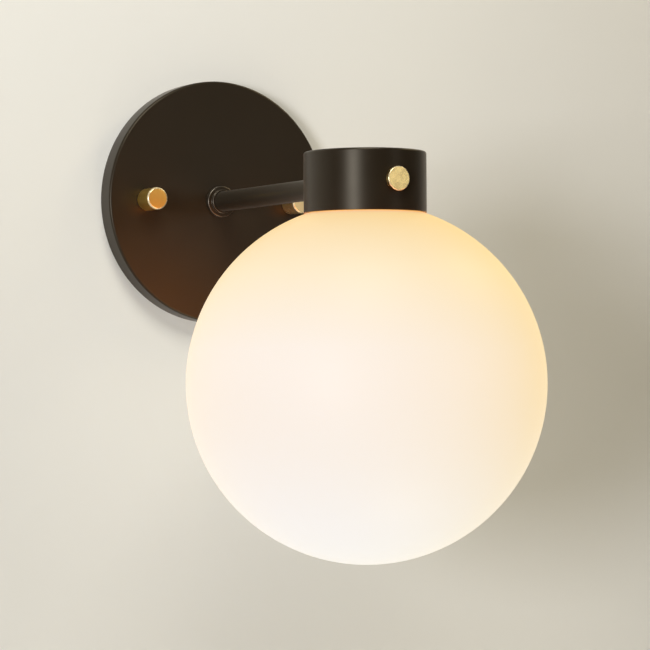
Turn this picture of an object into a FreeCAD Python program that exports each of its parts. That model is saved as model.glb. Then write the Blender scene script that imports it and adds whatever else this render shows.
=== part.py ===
import FreeCAD, Part
import math
import os
import re
import Sketcher

# A globe wall sconce. Millimetres. The wall is the plane y = 0 and the light stands out from it
# towards -Y, with +Z up and +X to the right for someone who faces the wall. The origin is the
# centre of the crossbar's back face. "Out" below is the distance from the wall, which is -y, and
# "ahead" is the distance from the cap's upright axis towards the room, which is -y as well.

SIZES = {
    # Backplate: a spun pan
    "plate_diameter": 133.4,
    "plate_depth": 11.5,
    "plate_sheet": 1.2,
    "plate_edge": 1.5,
    # Crossbar on the wall box
    "bar_length": 108.0,
    "bar_width": 22.0,
    "bar_thickness": 1.8,
    "bar_corner": 6.0,
    "bar_opening": 13.0,
    "slot_spacing": 69.85,
    "slot_width": 4.8,
    "slot_length": 10.0,
    "lug_width": 12.0,
    # Studs, their nuts and the two knobs
    "knob_spacing": 88.9,
    "stud_diameter": 4.1,
    "stud_grip": 9.0,
    "stud_play": 0.35,
    "stud_nut_flats": 8.7,
    "stud_nut_height": 3.2,
    "knob_diameter": 12.0,
    "knob_length": 13.3,
    "knob_bevel": 0.5,
    "knob_end_room": 1.5,
    "washer_diameter": 8.2,
    "washer_thickness": 0.8,
    "washer_recess": 0.5,
    "washer_play": 0.1,
    # Ground screw on the crossbar
    "ground_screw_place": 13.0,
    "ground_shank": 4.0,
    "ground_head": 8.0,
    "ground_head_height": 2.4,
    # Terminal block on the crossbar's lug
    "block_floor": 14.5,
    "block_width": 20.0,
    "block_height": 14.0,
    "block_depth": 8.0,
    "pole_spacing": 9.0,
    "sleeve_diameter": 3.8,
    "sleeve_bore": 2.4,
    "sleeve_inset": 1.0,
    "clamp_screw_diameter": 2.5,
    "clamp_screw_spacing": 7.0,
    "block_screw_diameter": 2.9,
    "block_screw_head": 5.0,
    "block_screw_head_height": 2.0,
    # Arm
    "arm_reach": 172.0,
    "arm_diameter": 11.0,
    "arm_bore": 7.0,
    "arm_thread": 9.9,
    "arm_nut_flats": 13.0,
    "arm_nut_height": 2.5,
    "front_nut_height": 2.0,
    "thread_overrun": 0.5,
    "lock_washer_diameter": 15.5,
    "lock_washer_thickness": 0.8,
    "lock_washer_split": 1.2,
    "collar_diameter": 17.2,
    "collar_thickness": 2.6,
    "collar_round": 0.6,
    "step_diameter": 13.0,
    "step_thickness": 1.6,
    "step_round": 0.4,
    # Cap
    "cap_diameter": 61.5,
    "cap_height": 30.5,
    "cap_wall": 1.6,
    "cap_top": 2.0,
    "cap_edge": 1.2,
    "cap_lip_bevel": 1.0,
    # Bracket inside the cap
    "bracket_width": 14.0,
    "bracket_sheet": 1.2,
    "bracket_drop": 8.0,
    "bracket_overhang": 14.0,
    "bracket_bend": 1.0,
    "bracket_clear": 0.3,
    "bracket_screw_ahead": -18.0,
    "bracket_screw_shank": 3.0,
    "bracket_screw_head": 6.4,
    "bracket_screw_head_height": 2.0,
    # Lamp holder
    "socket_diameter": 25.0,
    "socket_height": 30.0,
    "socket_bore_depth": 22.0,
    "socket_bevel": 1.0,
    "socket_screw_offset": 9.5,
    "socket_screw_diameter": 2.5,
    "socket_screw_head": 4.3,
    "socket_screw_head_height": 2.0,
    "socket_screw_inset": 1.0,
    "shell_wall": 0.4,
    "shell_inset": 0.8,
    "shell_length": 18.0,
    "contact_diameter": 6.0,
    "contact_sheet": 0.5,
    "contact_button": 3.0,
    "contact_button_height": 0.6,
    # Lamp
    "base_diameter": 11.9,
    "base_length": 15.0,
    "base_wall": 0.35,
    "base_contact_height": 1.2,
    "base_contact_diameter": 4.0,
    "insulator_height": 2.4,
    "bulb_diameter": 35.0,
    "bulb_length": 74.0,
    "bulb_wall": 0.9,
    "bulb_shoulder": 12.0,
    "bulb_overlap": 4.0,
    "stem_diameter": 3.0,
    "stem_length": 22.0,
    "filament_diameter": 1.6,
    "filament_length": 30.0,
    "filament_circle": 9.0,
    # Globe
    "globe_diameter": 180.0,
    "globe_wall": 2.5,
    "neck_diameter": 44.0,
    "neck_rise": 3.5,
    "neck_foot": 10.5,
    "neck_fillet": 3.0,
    "neck_rim": 0.8,
    "globe_clear": 0.3,
    # Thumb screw, its bush and tip, and the pads opposite
    "thumb_head_diameter": 12.0,
    "thumb_head_thickness": 2.65,
    "thumb_head_clear": 0.15,
    "thumb_bevel": 0.4,
    "thumb_shank": 3.9,
    "tip_diameter": 3.6,
    "tip_length": 2.6,
    "tip_round": 0.4,
    "spigot_diameter": 1.9,
    "spigot_length": 1.8,
    "bush_diameter": 8.0,
    "bush_flange": 11.0,
    "bush_flange_thickness": 1.2,
    "bush_tail": 1.8,
    "grip_clear": 0.3,
    "pad_sweep": 20.0,
    "pad_height": 12.0,
    "pad_turn": 120.0,
    # Leads
    "lead_diameter": 1.9,
    "lead_spacing": 2.4,
    "lead_out": 4.4,
    "lead_bend": 4.0,
    "lead_sway": 6.0,
    "lead_turn_up": 2.9,
    "lead_over_neck": 1.5,
    "lead_grip": 5.0,
    "lead_entry": 0.9,
    "lead_room": 2.8,
    "lead_clear": 0.1,
    # Fits
    "thread_play": 0.05,
    "seat_play": 0.05,
    "hole_play": 0.2,
}

# Places and sizes that follow from the ones above
PLATE_INSIDE = "(plate_depth - plate_sheet)"
KNOB_BACK = "(plate_depth + washer_thickness - washer_recess)"
KNOB_BORE_DEPTH = "(stud_grip + knob_end_room)"
STUD_BORE = "(stud_diameter / 2 + thread_play)"
ARM_HOLE = "(arm_thread / 2 + hole_play)"
THREAD_BACK = f"({PLATE_INSIDE} - lock_washer_thickness - arm_nut_height - thread_overrun)"
CAP_RADIUS = "(cap_diameter / 2)"
CAP_BORE = "(cap_diameter / 2 - cap_wall)"
NECK_RADIUS = "(neck_diameter / 2)"
THREAD_FRONT = f"(arm_reach - {NECK_RADIUS} - lead_room)"
BRACKET_BACK = f"(sqrt({CAP_BORE} ^ 2 - (bracket_width / 2) ^ 2) - seat_play)"
BRACKET_FACE = f"({BRACKET_BACK} - bracket_sheet)"
BRACKET_TOP = "(cap_height / 2 - cap_top - bracket_clear)"
SOCKET_TOP = f"({BRACKET_TOP} - bracket_sheet)"
SOCKET_FLOOR = f"({SOCKET_TOP} - socket_height)"
SHELL_RADIUS = "(base_diameter / 2 + thread_play + shell_wall)"
SOCKET_BORE_TOP = f"({SOCKET_FLOOR} + socket_bore_depth)"
CONTACT_FLOOR = f"({SOCKET_BORE_TOP} - contact_sheet - contact_button_height)"
BULB_TIP = f"({CONTACT_FLOOR} - lead_clear)"
INSULATOR_TOP = f"({BULB_TIP} - base_contact_height)"
BASE_TOP = f"({INSULATOR_TOP} - insulator_height)"
BASE_FLOOR = f"({BASE_TOP} - base_length)"
BULB_TOP = f"({BASE_FLOOR} - lead_clear)"
BULB_MIDDLE = f"({BULB_TOP} - bulb_length / 2)"
BULB_NECK = "(base_diameter / 2 - base_wall - seat_play)"
LIP_RADIUS = f"({CAP_BORE} + cap_lip_bevel)"
GLOBE_RADIUS = "(globe_diameter / 2)"
GLOBE_MIDDLE = f"(-cap_height / 2 - globe_clear - sqrt({GLOBE_RADIUS} ^ 2 - {LIP_RADIUS} ^ 2))"
HEAD_BACK = f"({CAP_RADIUS} + thumb_head_clear)"
GRIP_RADIUS = f"({NECK_RADIUS} + grip_clear)"
SHANK_END = f"({GRIP_RADIUS} + tip_length)"
BUSH_SEAT = f"(sqrt({CAP_BORE} ^ 2 - (bush_flange / 2) ^ 2) - seat_play)"
LEAD_RADIUS = "(lead_diameter / 2)"
LEAD_RISE = f"({NECK_RADIUS} + grip_clear + {LEAD_RADIUS})"
LEAD_LEVEL = f"(neck_rise + {LEAD_RADIUS} + lead_over_neck)"
GROUND_LEVEL = f"({SOCKET_TOP} - {LEAD_RADIUS} - seat_play)"
GROUND_OUT = f"(bar_thickness + {LEAD_RADIUS} + 2 * lead_clear)"
POLE = "(pole_spacing / 2)"

GROUND_SCREW_UP = f"(ground_shank / 2 + {LEAD_RADIUS} + 2 * lead_clear)"
BRACKET_SCREW_ACROSS = f"(lead_spacing - {LEAD_RADIUS} - bracket_screw_shank / 2 - 2 * lead_clear)"

FRONT = FreeCAD.Rotation(FreeCAD.Vector(1, 0, 0), 90)
UPRIGHT = FreeCAD.Rotation()

document = FreeCAD.newDocument("globe_wall_sconce")
nodes = []


def fill_sheet():
    """Puts every driving size in a cell of its own, under its name."""
    sheet = document.addObject("Spreadsheet::Sheet", "sizes")
    for row, (name, size) in enumerate(SIZES.items(), start=1):
        sheet.set(f"A{row}", name)
        sheet.set(f"B{row}", str(size))
        sheet.setAlias(f"B{row}", name)
    document.recompute()
    return sheet


sizes = fill_sheet()


def linked(expression):
    """The expression with every size's name pointed at its cell."""
    return re.sub(r"[a-z]+(_[a-z]+)+", lambda found: "sizes." + found.group(), expression)


def value(expression):
    """What the expression comes to now."""
    return float(sizes.evalExpression(linked(expression)))


def bind(item, **expressions):
    for name, expression in expressions.items():
        item.setExpression(name, linked(expression))


def place(item, across="0", out="0", up="0", turn=UPRIGHT):
    """Moves a piece to its place, which stays tied to the sheet."""
    item.Placement = FreeCAD.Placement(FreeCAD.Vector(), turn)
    item.setExpression("Placement.Base.x", linked(across))
    item.setExpression("Placement.Base.y", linked(f"-({out})"))
    item.setExpression("Placement.Base.z", linked(up))
    return item


def keep(item, label):
    """Names a finished piece and lists it for writing."""
    item.Label = label
    nodes.append(item)
    return item


# Sketches and bodies

def middle_plane(body, role):
    return [plane for plane in body.Origin.OriginFeatures if plane.Role == role][0]


def blank_sketch(body, name, plane):
    sketch = body.newObject("Sketcher::SketchObject", name)
    sketch.AttachmentSupport = (middle_plane(body, plane), [""])
    sketch.MapMode = "FlatFace"
    return sketch


def measure(sketch, kind, where, expression):
    """Adds a dimension to a sketch and ties it to the sheet."""
    number = sketch.addConstraint(Sketcher.Constraint(kind, *where, value(expression)))
    sketch.setExpression(f"Constraints[{number}]", linked(expression))


def pin_point(sketch, line, end, across, up):
    """Fixes a point of a sketch by its two distances from the sketch's origin."""
    if across == "0":
        sketch.addConstraint(Sketcher.Constraint("PointOnObject", line, end, -2))
    else:
        measure(sketch, "DistanceX", (-1, 1, line, end), across)
    if up == "0":
        sketch.addConstraint(Sketcher.Constraint("PointOnObject", line, end, -1))
    else:
        measure(sketch, "DistanceY", (-1, 1, line, end), up)


def outline(body, name, plane, corners):
    """A closed outline of straight sides through the corners, each an (across, up) pair."""
    sketch = blank_sketch(body, name, plane)
    points = [FreeCAD.Vector(value(across), value(up), 0) for across, up in corners]
    for index, point in enumerate(points):
        sketch.addGeometry(Part.LineSegment(point, points[(index + 1) % len(points)]))
    for index, (across, up) in enumerate(corners):
        previous = (index - 1) % len(corners)
        sketch.addConstraint(Sketcher.Constraint("Coincident", previous, 2, index, 1))
        pin_point(sketch, index, 1, across, up)
    return sketch


def turned(name, plane, corners, sweep=None):
    """A body turned about the upright axis of the sketch's plane."""
    body = document.addObject("PartDesign::Body", name)
    sketch = outline(body, name + "_outline", plane, corners)
    turn = body.newObject("PartDesign::Revolution", name + "_turn")
    turn.Profile = sketch
    turn.ReferenceAxis = (sketch, ["V_Axis"])
    turn.Angle = 360
    if sweep:
        turn.Midplane = True
        bind(turn, Angle=sweep)
    return body


def turned_forward(name, corners):
    """A body turned about the y axis; each corner is a (radius, ahead) pair."""
    return turned(name, "XY_Plane", [(radius, f"-({ahead})") for radius, ahead in corners])


def turned_upright(name, corners, sweep=None):
    """A body turned about the z axis; each corner is a (radius, height) pair."""
    return turned(name, "XZ_Plane", corners, sweep)


def padded(body, name, plane, corners, length, both_ways=False):
    pad = body.newObject("PartDesign::Pad", name)
    pad.Profile = outline(body, name + "_outline", plane, corners)
    pad.Midplane = both_ways
    bind(pad, Length=length)
    return pad


def pocketed(body, name, sketch, length, reverse):
    pocket = body.newObject("PartDesign::Pocket", name)
    pocket.Profile = sketch
    pocket.Reversed = reverse
    bind(pocket, Length=length)
    return pocket


def pierced(body, name, plane, circles, length, reverse=False):
    """Round holes, each an (across, up, radius) triple, from a middle plane outwards."""
    sketch = blank_sketch(body, name + "_circles", plane)
    for across, up, radius in circles:
        centre = FreeCAD.Vector(value(across), value(up), 0)
        line = sketch.addGeometry(Part.Circle(centre, FreeCAD.Vector(0, 0, 1), value(radius)))
        measure(sketch, "Radius", (line,), radius)
        pin_point(sketch, line, 3, across, up)
    return pocketed(body, name, sketch, length, reverse)


def edges_where(feature, test):
    """Names of the feature's edges that pass the test."""
    document.recompute()
    edges = enumerate(feature.Shape.Edges, start=1)
    return [f"Edge{number}" for number, edge in edges if test(edge)]


def is_ring(edge, radius, along, level):
    """Whether an edge is a circle of that radius at that level along an axis."""
    if edge.Degenerated or not isinstance(edge.Curve, Part.Circle):
        return False
    same_radius = math.isclose(edge.Curve.Radius, radius, abs_tol=1e-4)
    return same_radius and math.isclose(getattr(edge.Curve.Center, along), level, abs_tol=1e-4)


def softened(body, name, kind, ring, size):
    """Rounds or bevels a ring, given as (radius, axis, level), of the body's last feature."""
    radius, along, level = ring
    last = body.Tip
    edges = edges_where(last, lambda edge: is_ring(edge, value(radius), along, value(level)))
    feature = body.newObject(f"PartDesign::{kind}", name)
    feature.Base = (last, edges)
    bind(feature, **{"Radius" if kind == "Fillet" else "Size": size})
    return feature


# Primitives and booleans

def cylinder(name, radius, height, across="0", out="0", up="0", turn=UPRIGHT):
    item = document.addObject("Part::Cylinder", name)
    bind(item, Radius=radius, Height=height)
    return place(item, across, out, up, turn)


def rod(name, radius, start, end, across="0", up="0"):
    """A cylinder that runs out from the wall between two distances from it."""
    return cylinder(name, radius, f"{end} - ({start})", across, start, up, FRONT)


def box(name, width, depth, height, across, out, up):
    """A box centred across x, whose wall side is at out and whose floor is at up."""
    item = document.addObject("Part::Box", name)
    bind(item, Length=width, Width=depth, Height=height)
    return place(item, f"{across} - ({width}) / 2", f"{out} + {depth}", up)


def joined(name, pieces):
    item = document.addObject("Part::MultiFuse", name)
    item.Shapes = pieces
    return item


def cut(name, base, tool):
    item = document.addObject("Part::Cut", name)
    item.Base = base
    item.Tool = tool
    return item


def shared(name, base, tool):
    item = document.addObject("Part::Common", name)
    item.Base = base
    item.Tool = tool
    return item


def group(name, pieces):
    """Separate solids that share one node."""
    item = document.addObject("Part::Compound", name)
    item.Links = pieces
    return item


def tube(name, outside, inside, start, end, across="0", up="0"):
    wall = rod(name + "_outside", outside, start, end, across, up)
    return cut(name, wall, rod(name + "_inside", inside, start, end, across, up))


def hexagon_nut(name, flats, bore, start, height, across="0", up="0"):
    prism = document.addObject("Part::Prism", name + "_prism")
    prism.Polygon = 6
    bind(prism, Circumradius=f"{flats} / sqrt(3)", Height=height)
    place(prism, across, start, up, FRONT)
    hole = rod(name + "_bore", bore, start, f"({start} + {height})", across, up)
    return cut(name, prism, hole)


# Wall side

def make_backplate():
    rim = "plate_diameter / 2"
    body = turned_forward("backplate_body", [
        (ARM_HOLE, "plate_depth"),
        (rim, "plate_depth"),
        (rim, "0"),
        (f"{rim} - plate_sheet", "0"),
        (f"{rim} - plate_sheet", PLATE_INSIDE),
        (ARM_HOLE, PLATE_INSIDE),
    ])
    softened(body, "plate_front_edge", "Fillet", (rim, "y", "-plate_depth"), "plate_edge")
    inside_edge = (f"{rim} - plate_sheet", "y", f"-{PLATE_INSIDE}")
    softened(body, "plate_inside_edge", "Fillet", inside_edge, "plate_edge - plate_sheet")
    hole = "stud_diameter / 2 + stud_play"
    studs = [(f"{side} * knob_spacing / 2", "0", hole) for side in (-1, 1)]
    pierced(body, "plate_stud_holes", "XZ_Plane", studs, "plate_depth + 1", reverse=True)
    keep(body, "backplate")


def make_crossbar():
    body = document.addObject("PartDesign::Body", "crossbar_body")
    half, rise = "bar_length / 2", "bar_width / 2"
    corners = [(f"-{half}", f"-{rise}"), (half, f"-{rise}"), (half, rise), (f"-{half}", rise)]
    padded(body, "bar", "XZ_Plane", corners, "bar_thickness")
    side, lug_top = "lug_width / 2", "(block_floor + block_height)"
    lug = [(f"-{side}", "0"), (side, "0"), (side, lug_top), (f"-{side}", lug_top)]
    padded(body, "bar_lug", "XZ_Plane", lug, "bar_thickness")
    last, reach = body.Tip, value(half)
    ends = edges_where(last, lambda edge: is_bar_corner(edge, reach))
    rounds = body.newObject("PartDesign::Fillet", "bar_corners")
    rounds.Base = (last, ends)
    bind(rounds, Radius="bar_corner")
    start, end = "-1", "bar_thickness + 1"
    tools = [
        rod("bar_middle_hole", "bar_opening / 2", start, end),
        rod("bar_ground_hole", "ground_shank / 2 + seat_play", start, end,
            "ground_screw_place", GROUND_SCREW_UP),
        rod("bar_block_hole", "block_screw_diameter / 2 + seat_play", start, end,
            "0", "block_floor + block_height / 2"),
    ]
    run = "(slot_length - slot_width)"
    for sign in (-1, 1):
        name = f"bar_{sign + 2}"
        tools.append(rod(f"{name}_stud_hole", STUD_BORE, start, end, f"{sign} * knob_spacing / 2"))
        middle = f"{sign} * slot_spacing / 2"
        tools.append(box(f"{name}_slot", run, "bar_thickness + 2", "slot_width", middle, "-1",
                         "-slot_width / 2"))
        for along in (-1, 1):
            tools.append(rod(f"{name}_slot_end_{along + 2}", "slot_width / 2", start, end,
                             f"{middle} + {along} * {run} / 2"))
    keep(cut("crossbar_drilled", body, joined("bar_holes", tools)), "mounting_crossbar")


def is_bar_corner(edge, reach):
    """Whether an edge is one of the four short ones at the bar's ends."""
    ends = [point.Point for point in edge.Vertexes]
    at_end = all(math.isclose(abs(point.x), reach, abs_tol=1e-4) for point in ends)
    return at_end and abs(ends[0].y - ends[-1].y) > 1e-4


def make_studs():
    for side, name in ((-1, "left"), (1, "right")):
        across = f"{side} * knob_spacing / 2"
        stud = rod(f"stud_{name}_rod", "stud_diameter / 2", "0", f"({KNOB_BACK} + stud_grip)", across)
        keep(stud, f"stud_{name}")
        nut = hexagon_nut(f"stud_nut_{name}_body", "stud_nut_flats", STUD_BORE, "bar_thickness",
                          "stud_nut_height", across)
        keep(nut, f"stud_nut_{name}")


def make_knobs():
    radius = "knob_diameter / 2"
    recess = "washer_diameter / 2 + washer_play"
    corners = [
        ("0", KNOB_BORE_DEPTH),
        ("0", "knob_length"),
        (f"{radius} - knob_bevel", "knob_length"),
        (radius, "knob_length - knob_bevel"),
        (radius, "0"),
        (recess, "0"),
        (recess, "washer_recess"),
        (STUD_BORE, "washer_recess"),
        (STUD_BORE, KNOB_BORE_DEPTH),
    ]
    for side, name in ((-1, "left"), (1, "right")):
        across = f"{side} * knob_spacing / 2"
        knob = turned_forward(f"knob_{name}_body", corners)
        place(knob, across, KNOB_BACK)
        keep(knob, f"knob_{name}")
        washer = tube(f"knob_washer_{name}_ring", "washer_diameter / 2",
                      "stud_diameter / 2 + hole_play", "plate_depth",
                      "(plate_depth + washer_thickness)", across)
        keep(washer, f"knob_washer_{name}")


def make_ground_screw():
    head_start = f"({GROUND_OUT} + {LEAD_RADIUS} + seat_play)"
    head_end = f"({head_start} + ground_head_height)"
    where = {"across": "ground_screw_place", "up": GROUND_SCREW_UP}
    shank = rod("ground_shank_rod", "ground_shank / 2", "0", head_start, **where)
    head = rod("ground_head_rod", "ground_head / 2", head_start, head_end, **where)
    slot = box("ground_slot", "ground_head + 1", "1.2", "1.0", where["across"],
               f"{head_end} - 1.0", f"{GROUND_SCREW_UP} - 0.5")
    keep(cut("ground_screw_body", joined("ground_screw_blank", [shank, head]), slot), "ground_screw")


def make_terminals():
    floor, front = "block_floor", "(bar_thickness + block_depth)"
    clamp_radius = "clamp_screw_diameter / 2"
    clamp_tip = f"(lead_out + {LEAD_RADIUS} + seat_play)"
    levels = [
        f"({floor} + block_height / 2 + {side} * clamp_screw_spacing / 2)" for side in (-1, 1)
    ]
    clamps, wells, ways, sleeves, taps = [], [], [], [], []
    for side in (-1, 1):
        across = f"{side} * {POLE}"
        way = f"terminal_way_{side + 2}"
        ways.append(cylinder(way, "sleeve_diameter / 2 + seat_play", "block_height",
                             across, "lead_out", floor))
        wall = cylinder(way + "_wall", "sleeve_diameter / 2", "block_height - 2 * sleeve_inset",
                        across, "lead_out", f"{floor} + sleeve_inset")
        bore = cylinder(way + "_bore", "sleeve_bore / 2", "block_height",
                        across, "lead_out", floor)
        sleeves.append(cut(way + "_sleeve", wall, bore))
        for number, level in enumerate(levels):
            name = f"terminal_clamp_{side + 2}_{number}"
            clamps.append(rod(name, clamp_radius, clamp_tip, f"({front} - 1)", across, level))
            wells.append(rod(name + "_well", f"{clamp_radius} + 4 * seat_play", "lead_out",
                             f"({front} + 1)", across, level))
            taps.append(rod(name + "_tap", f"{clamp_radius} + seat_play", "lead_out", front,
                            across, level))
    middle = f"({floor} + block_height / 2)"
    head_start = f"({front} - block_screw_head_height - 0.2)"
    well = rod("block_screw_well", "block_screw_head / 2 + hole_play", head_start,
               f"({front} + 1)", "0", middle)
    hole = rod("block_screw_hole", "block_screw_diameter / 2 + hole_play", "bar_thickness",
               front, "0", middle)
    blank = box("terminal_blank", "block_width", "block_depth", "block_height", "0",
                "bar_thickness", floor)
    holes = joined("terminal_holes", ways + wells + [well, hole])
    keep(cut("terminal_block_body", blank, holes), "terminal_block")
    both = group("terminal_sleeve_pair", sleeves)
    keep(cut("terminal_sleeves_body", both, joined("terminal_taps", taps)), "terminal_sleeves")
    keep(group("terminal_screws_set", clamps), "terminal_screws")
    shank = rod("block_screw_shank", "block_screw_diameter / 2", "0.2", head_start, "0", middle)
    head = rod("block_screw_head_rod", "block_screw_head / 2", head_start,
               f"({head_start} + block_screw_head_height)", "0", middle)
    keep(joined("block_screw_body", [shank, head]), "terminal_block_screw")


# Arm

def make_arm():
    sleeve = rod("arm_sleeve", "arm_diameter / 2", "plate_depth", f"(arm_reach - {CAP_RADIUS} + 2)")
    notch = cylinder("arm_notch", CAP_RADIUS, "2 * arm_diameter", "0", "arm_reach", "-arm_diameter")
    thread = rod("arm_thread_rod", "arm_thread / 2", THREAD_BACK, THREAD_FRONT)
    bore = rod("arm_bore_rod", "arm_bore / 2", THREAD_BACK, THREAD_FRONT)
    solid = joined("arm_solid", [cut("arm_fitted", sleeve, notch), thread])
    keep(cut("arm_tube_body", solid, bore), "arm_tube")


def make_collar():
    bore = "arm_diameter / 2 + seat_play"
    top = "collar_thickness + step_thickness"
    body = turned_forward("collar_body", [
        (bore, "0"),
        ("collar_diameter / 2", "0"),
        ("collar_diameter / 2", "collar_thickness"),
        ("step_diameter / 2", "collar_thickness"),
        ("step_diameter / 2", top),
        (bore, top),
    ])
    softened(body, "collar_edge", "Fillet",
             ("collar_diameter / 2", "y", "-collar_thickness"), "collar_round")
    softened(body, "step_edge", "Fillet", ("step_diameter / 2", "y", f"-({top})"), "step_round")
    place(body, out="plate_depth")
    keep(body, "arm_collar")


def make_arm_fixings():
    washer_start = f"({PLATE_INSIDE} - lock_washer_thickness)"
    ring = tube("lock_washer_ring", "lock_washer_diameter / 2", ARM_HOLE, washer_start,
                PLATE_INSIDE)
    split = box("lock_washer_gap", "lock_washer_diameter / 2", "2 * lock_washer_thickness",
                "lock_washer_split", "lock_washer_diameter / 4",
                f"{washer_start} - lock_washer_thickness / 2", "-lock_washer_split / 2")
    keep(cut("lock_washer_body", ring, split), "arm_lock_washer")
    bore = "(arm_thread / 2 + thread_play)"
    back = hexagon_nut("back_nut_body", "arm_nut_flats", bore,
                       f"({washer_start} - arm_nut_height)", "arm_nut_height")
    keep(back, "arm_back_nut")
    front = hexagon_nut("front_nut_body", "arm_nut_flats", bore,
                        f"(arm_reach - {BRACKET_FACE})", "front_nut_height")
    keep(front, "arm_front_nut")


# Cap, bracket and lamp holder. Their bodies are drawn about the cap's upright axis, with
# z = 0 at the arm's level, and stand at the arm's reach from the wall.

def make_cap():
    top, floor = "cap_height / 2", "-cap_height / 2"
    body = turned_upright("cap_body", [
        ("0", f"{top} - cap_top"),
        ("0", top),
        (CAP_RADIUS, top),
        (CAP_RADIUS, floor),
        (LIP_RADIUS, floor),
        (CAP_BORE, f"{floor} + cap_lip_bevel"),
        (CAP_BORE, f"{top} - cap_top"),
    ])
    softened(body, "cap_top_edge", "Fillet", (CAP_RADIUS, "z", top), "cap_edge")
    pierced(body, "cap_arm_hole", "XZ_Plane", [("0", "0", ARM_HOLE)], CAP_RADIUS)
    bush_hole = [("0", "0", "bush_diameter / 2 + seat_play")]
    pierced(body, "cap_bush_hole", "XZ_Plane", bush_hole, CAP_RADIUS, reverse=True)
    place(body, out="arm_reach")
    keep(body, "cap")


def make_bracket():
    body = document.addObject("PartDesign::Body", "bracket_body")
    corners = [
        ("-bracket_overhang", SOCKET_TOP),
        (BRACKET_FACE, SOCKET_TOP),
        (BRACKET_FACE, "-bracket_drop"),
        (BRACKET_BACK, "-bracket_drop"),
        (BRACKET_BACK, BRACKET_TOP),
        ("-bracket_overhang", BRACKET_TOP),
    ]
    padded(body, "bracket_strap", "YZ_Plane", corners, "bracket_width", both_ways=True)
    bends = (
        ("inside", BRACKET_FACE, SOCKET_TOP, "bracket_bend"),
        ("outside", BRACKET_BACK, BRACKET_TOP, "bracket_bend + bracket_sheet"),
    )
    for name, behind, up, radius in bends:
        last = body.Tip
        edges = edges_where(last, lambda edge: is_bend(edge, value(behind), value(up)))
        bend = body.newObject("PartDesign::Fillet", f"bracket_{name}_bend")
        bend.Base = (last, edges)
        bind(bend, Radius=radius)
    pierced(body, "bracket_arm_hole", "XZ_Plane", [("0", "0", ARM_HOLE)], CAP_RADIUS)
    screw = "socket_screw_diameter / 2 + seat_play"
    holes = [("0", f"{side} * socket_screw_offset", screw) for side in (-1, 1)]
    holes.append((BRACKET_SCREW_ACROSS, "-bracket_screw_ahead",
                  "bracket_screw_shank / 2 + seat_play"))
    pierced(body, "bracket_screw_holes", "XY_Plane", holes, "cap_height", reverse=True)
    place(body, out="arm_reach")
    keep(body, "socket_bracket")


def is_bend(edge, behind, up):
    """Whether an edge runs across x at that place behind the axis and that height."""
    ends = [point.Point for point in edge.Vertexes]
    same_y = all(math.isclose(point.y, behind, abs_tol=1e-4) for point in ends)
    return same_y and all(math.isclose(point.z, up, abs_tol=1e-4) for point in ends)


def make_bracket_screw():
    top = f"{GROUND_LEVEL} - {LEAD_RADIUS} - seat_play"
    out = "arm_reach + bracket_screw_ahead"
    head = cylinder("bracket_screw_head_disc", "bracket_screw_head / 2",
                    "bracket_screw_head_height", BRACKET_SCREW_ACROSS, out,
                    f"{top} - bracket_screw_head_height")
    shank = cylinder("bracket_screw_shank_rod", "bracket_screw_shank / 2",
                     f"{BRACKET_TOP} - ({top})", BRACKET_SCREW_ACROSS, out, top)
    keep(joined("bracket_screw_body", [head, shank]), "bracket_ground_screw")


def make_socket():
    radius = "socket_diameter / 2"
    bore = f"({SHELL_RADIUS} + seat_play)"
    body = turned_upright("socket_turned", [
        ("0", SOCKET_BORE_TOP),
        ("0", SOCKET_TOP),
        (radius, SOCKET_TOP),
        (radius, SOCKET_FLOOR),
        (bore, SOCKET_FLOOR),
        (bore, SOCKET_BORE_TOP),
    ])
    softened(body, "socket_edge", "Chamfer", (radius, "z", SOCKET_FLOOR), "socket_bevel")
    place(body, out="arm_reach")
    head_floor = f"({SOCKET_FLOOR} + socket_screw_inset)"
    head_top = f"({head_floor} + socket_screw_head_height)"
    screws, holes = [], []
    for side in (-1, 1):
        out = f"arm_reach + {side} * socket_screw_offset"
        name = f"socket_screw_{side + 2}"
        head = cylinder(name + "_head", "socket_screw_head / 2", "socket_screw_head_height",
                        "0", out, head_floor)
        shank = cylinder(name + "_shank", "socket_screw_diameter / 2",
                         f"{BRACKET_TOP} - {head_top}", "0", out, head_top)
        screws.append(joined(name, [head, shank]))
        holes.append(cylinder(name + "_well", "socket_screw_head / 2 + 2 * seat_play",
                              f"{head_top} - {SOCKET_FLOOR} + 1", "0", out, f"{SOCKET_FLOOR} - 1"))
        holes.append(cylinder(name + "_way", "socket_screw_diameter / 2 + seat_play",
                              "socket_height + 1", "0", out, SOCKET_FLOOR))
    for side in (-1, 0):
        holes.append(rod(f"socket_entry_{side + 1}", f"{LEAD_RADIUS} + lead_clear",
                         f"(arm_reach - {radius} - 1)",
                         f"(arm_reach - {radius} + lead_entry + lead_clear)",
                         f"{side} * lead_spacing", LEAD_LEVEL))
    keep(cut("socket_drilled", body, joined("socket_holes", holes)), "socket_body")
    keep(group("socket_screw_pair", screws), "socket_screws")


def make_socket_metal():
    shell = turned_upright("shell_turned", [
        (f"{SHELL_RADIUS} - shell_wall", f"{SOCKET_FLOOR} + shell_inset"),
        (SHELL_RADIUS, f"{SOCKET_FLOOR} + shell_inset"),
        (SHELL_RADIUS, f"{SOCKET_FLOOR} + shell_inset + shell_length"),
        (f"{SHELL_RADIUS} - shell_wall", f"{SOCKET_FLOOR} + shell_inset + shell_length"),
    ])
    place(shell, out="arm_reach")
    keep(shell, "socket_shell")
    disc = cylinder("contact_disc", "contact_diameter / 2", "contact_sheet", "0", "arm_reach",
                    f"{SOCKET_BORE_TOP} - contact_sheet")
    button = cylinder("contact_button_disc", "contact_button / 2", "contact_button_height",
                      "0", "arm_reach", CONTACT_FLOOR)
    keep(joined("contact_body", [disc, button]), "socket_contact")


# Lamp

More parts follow.
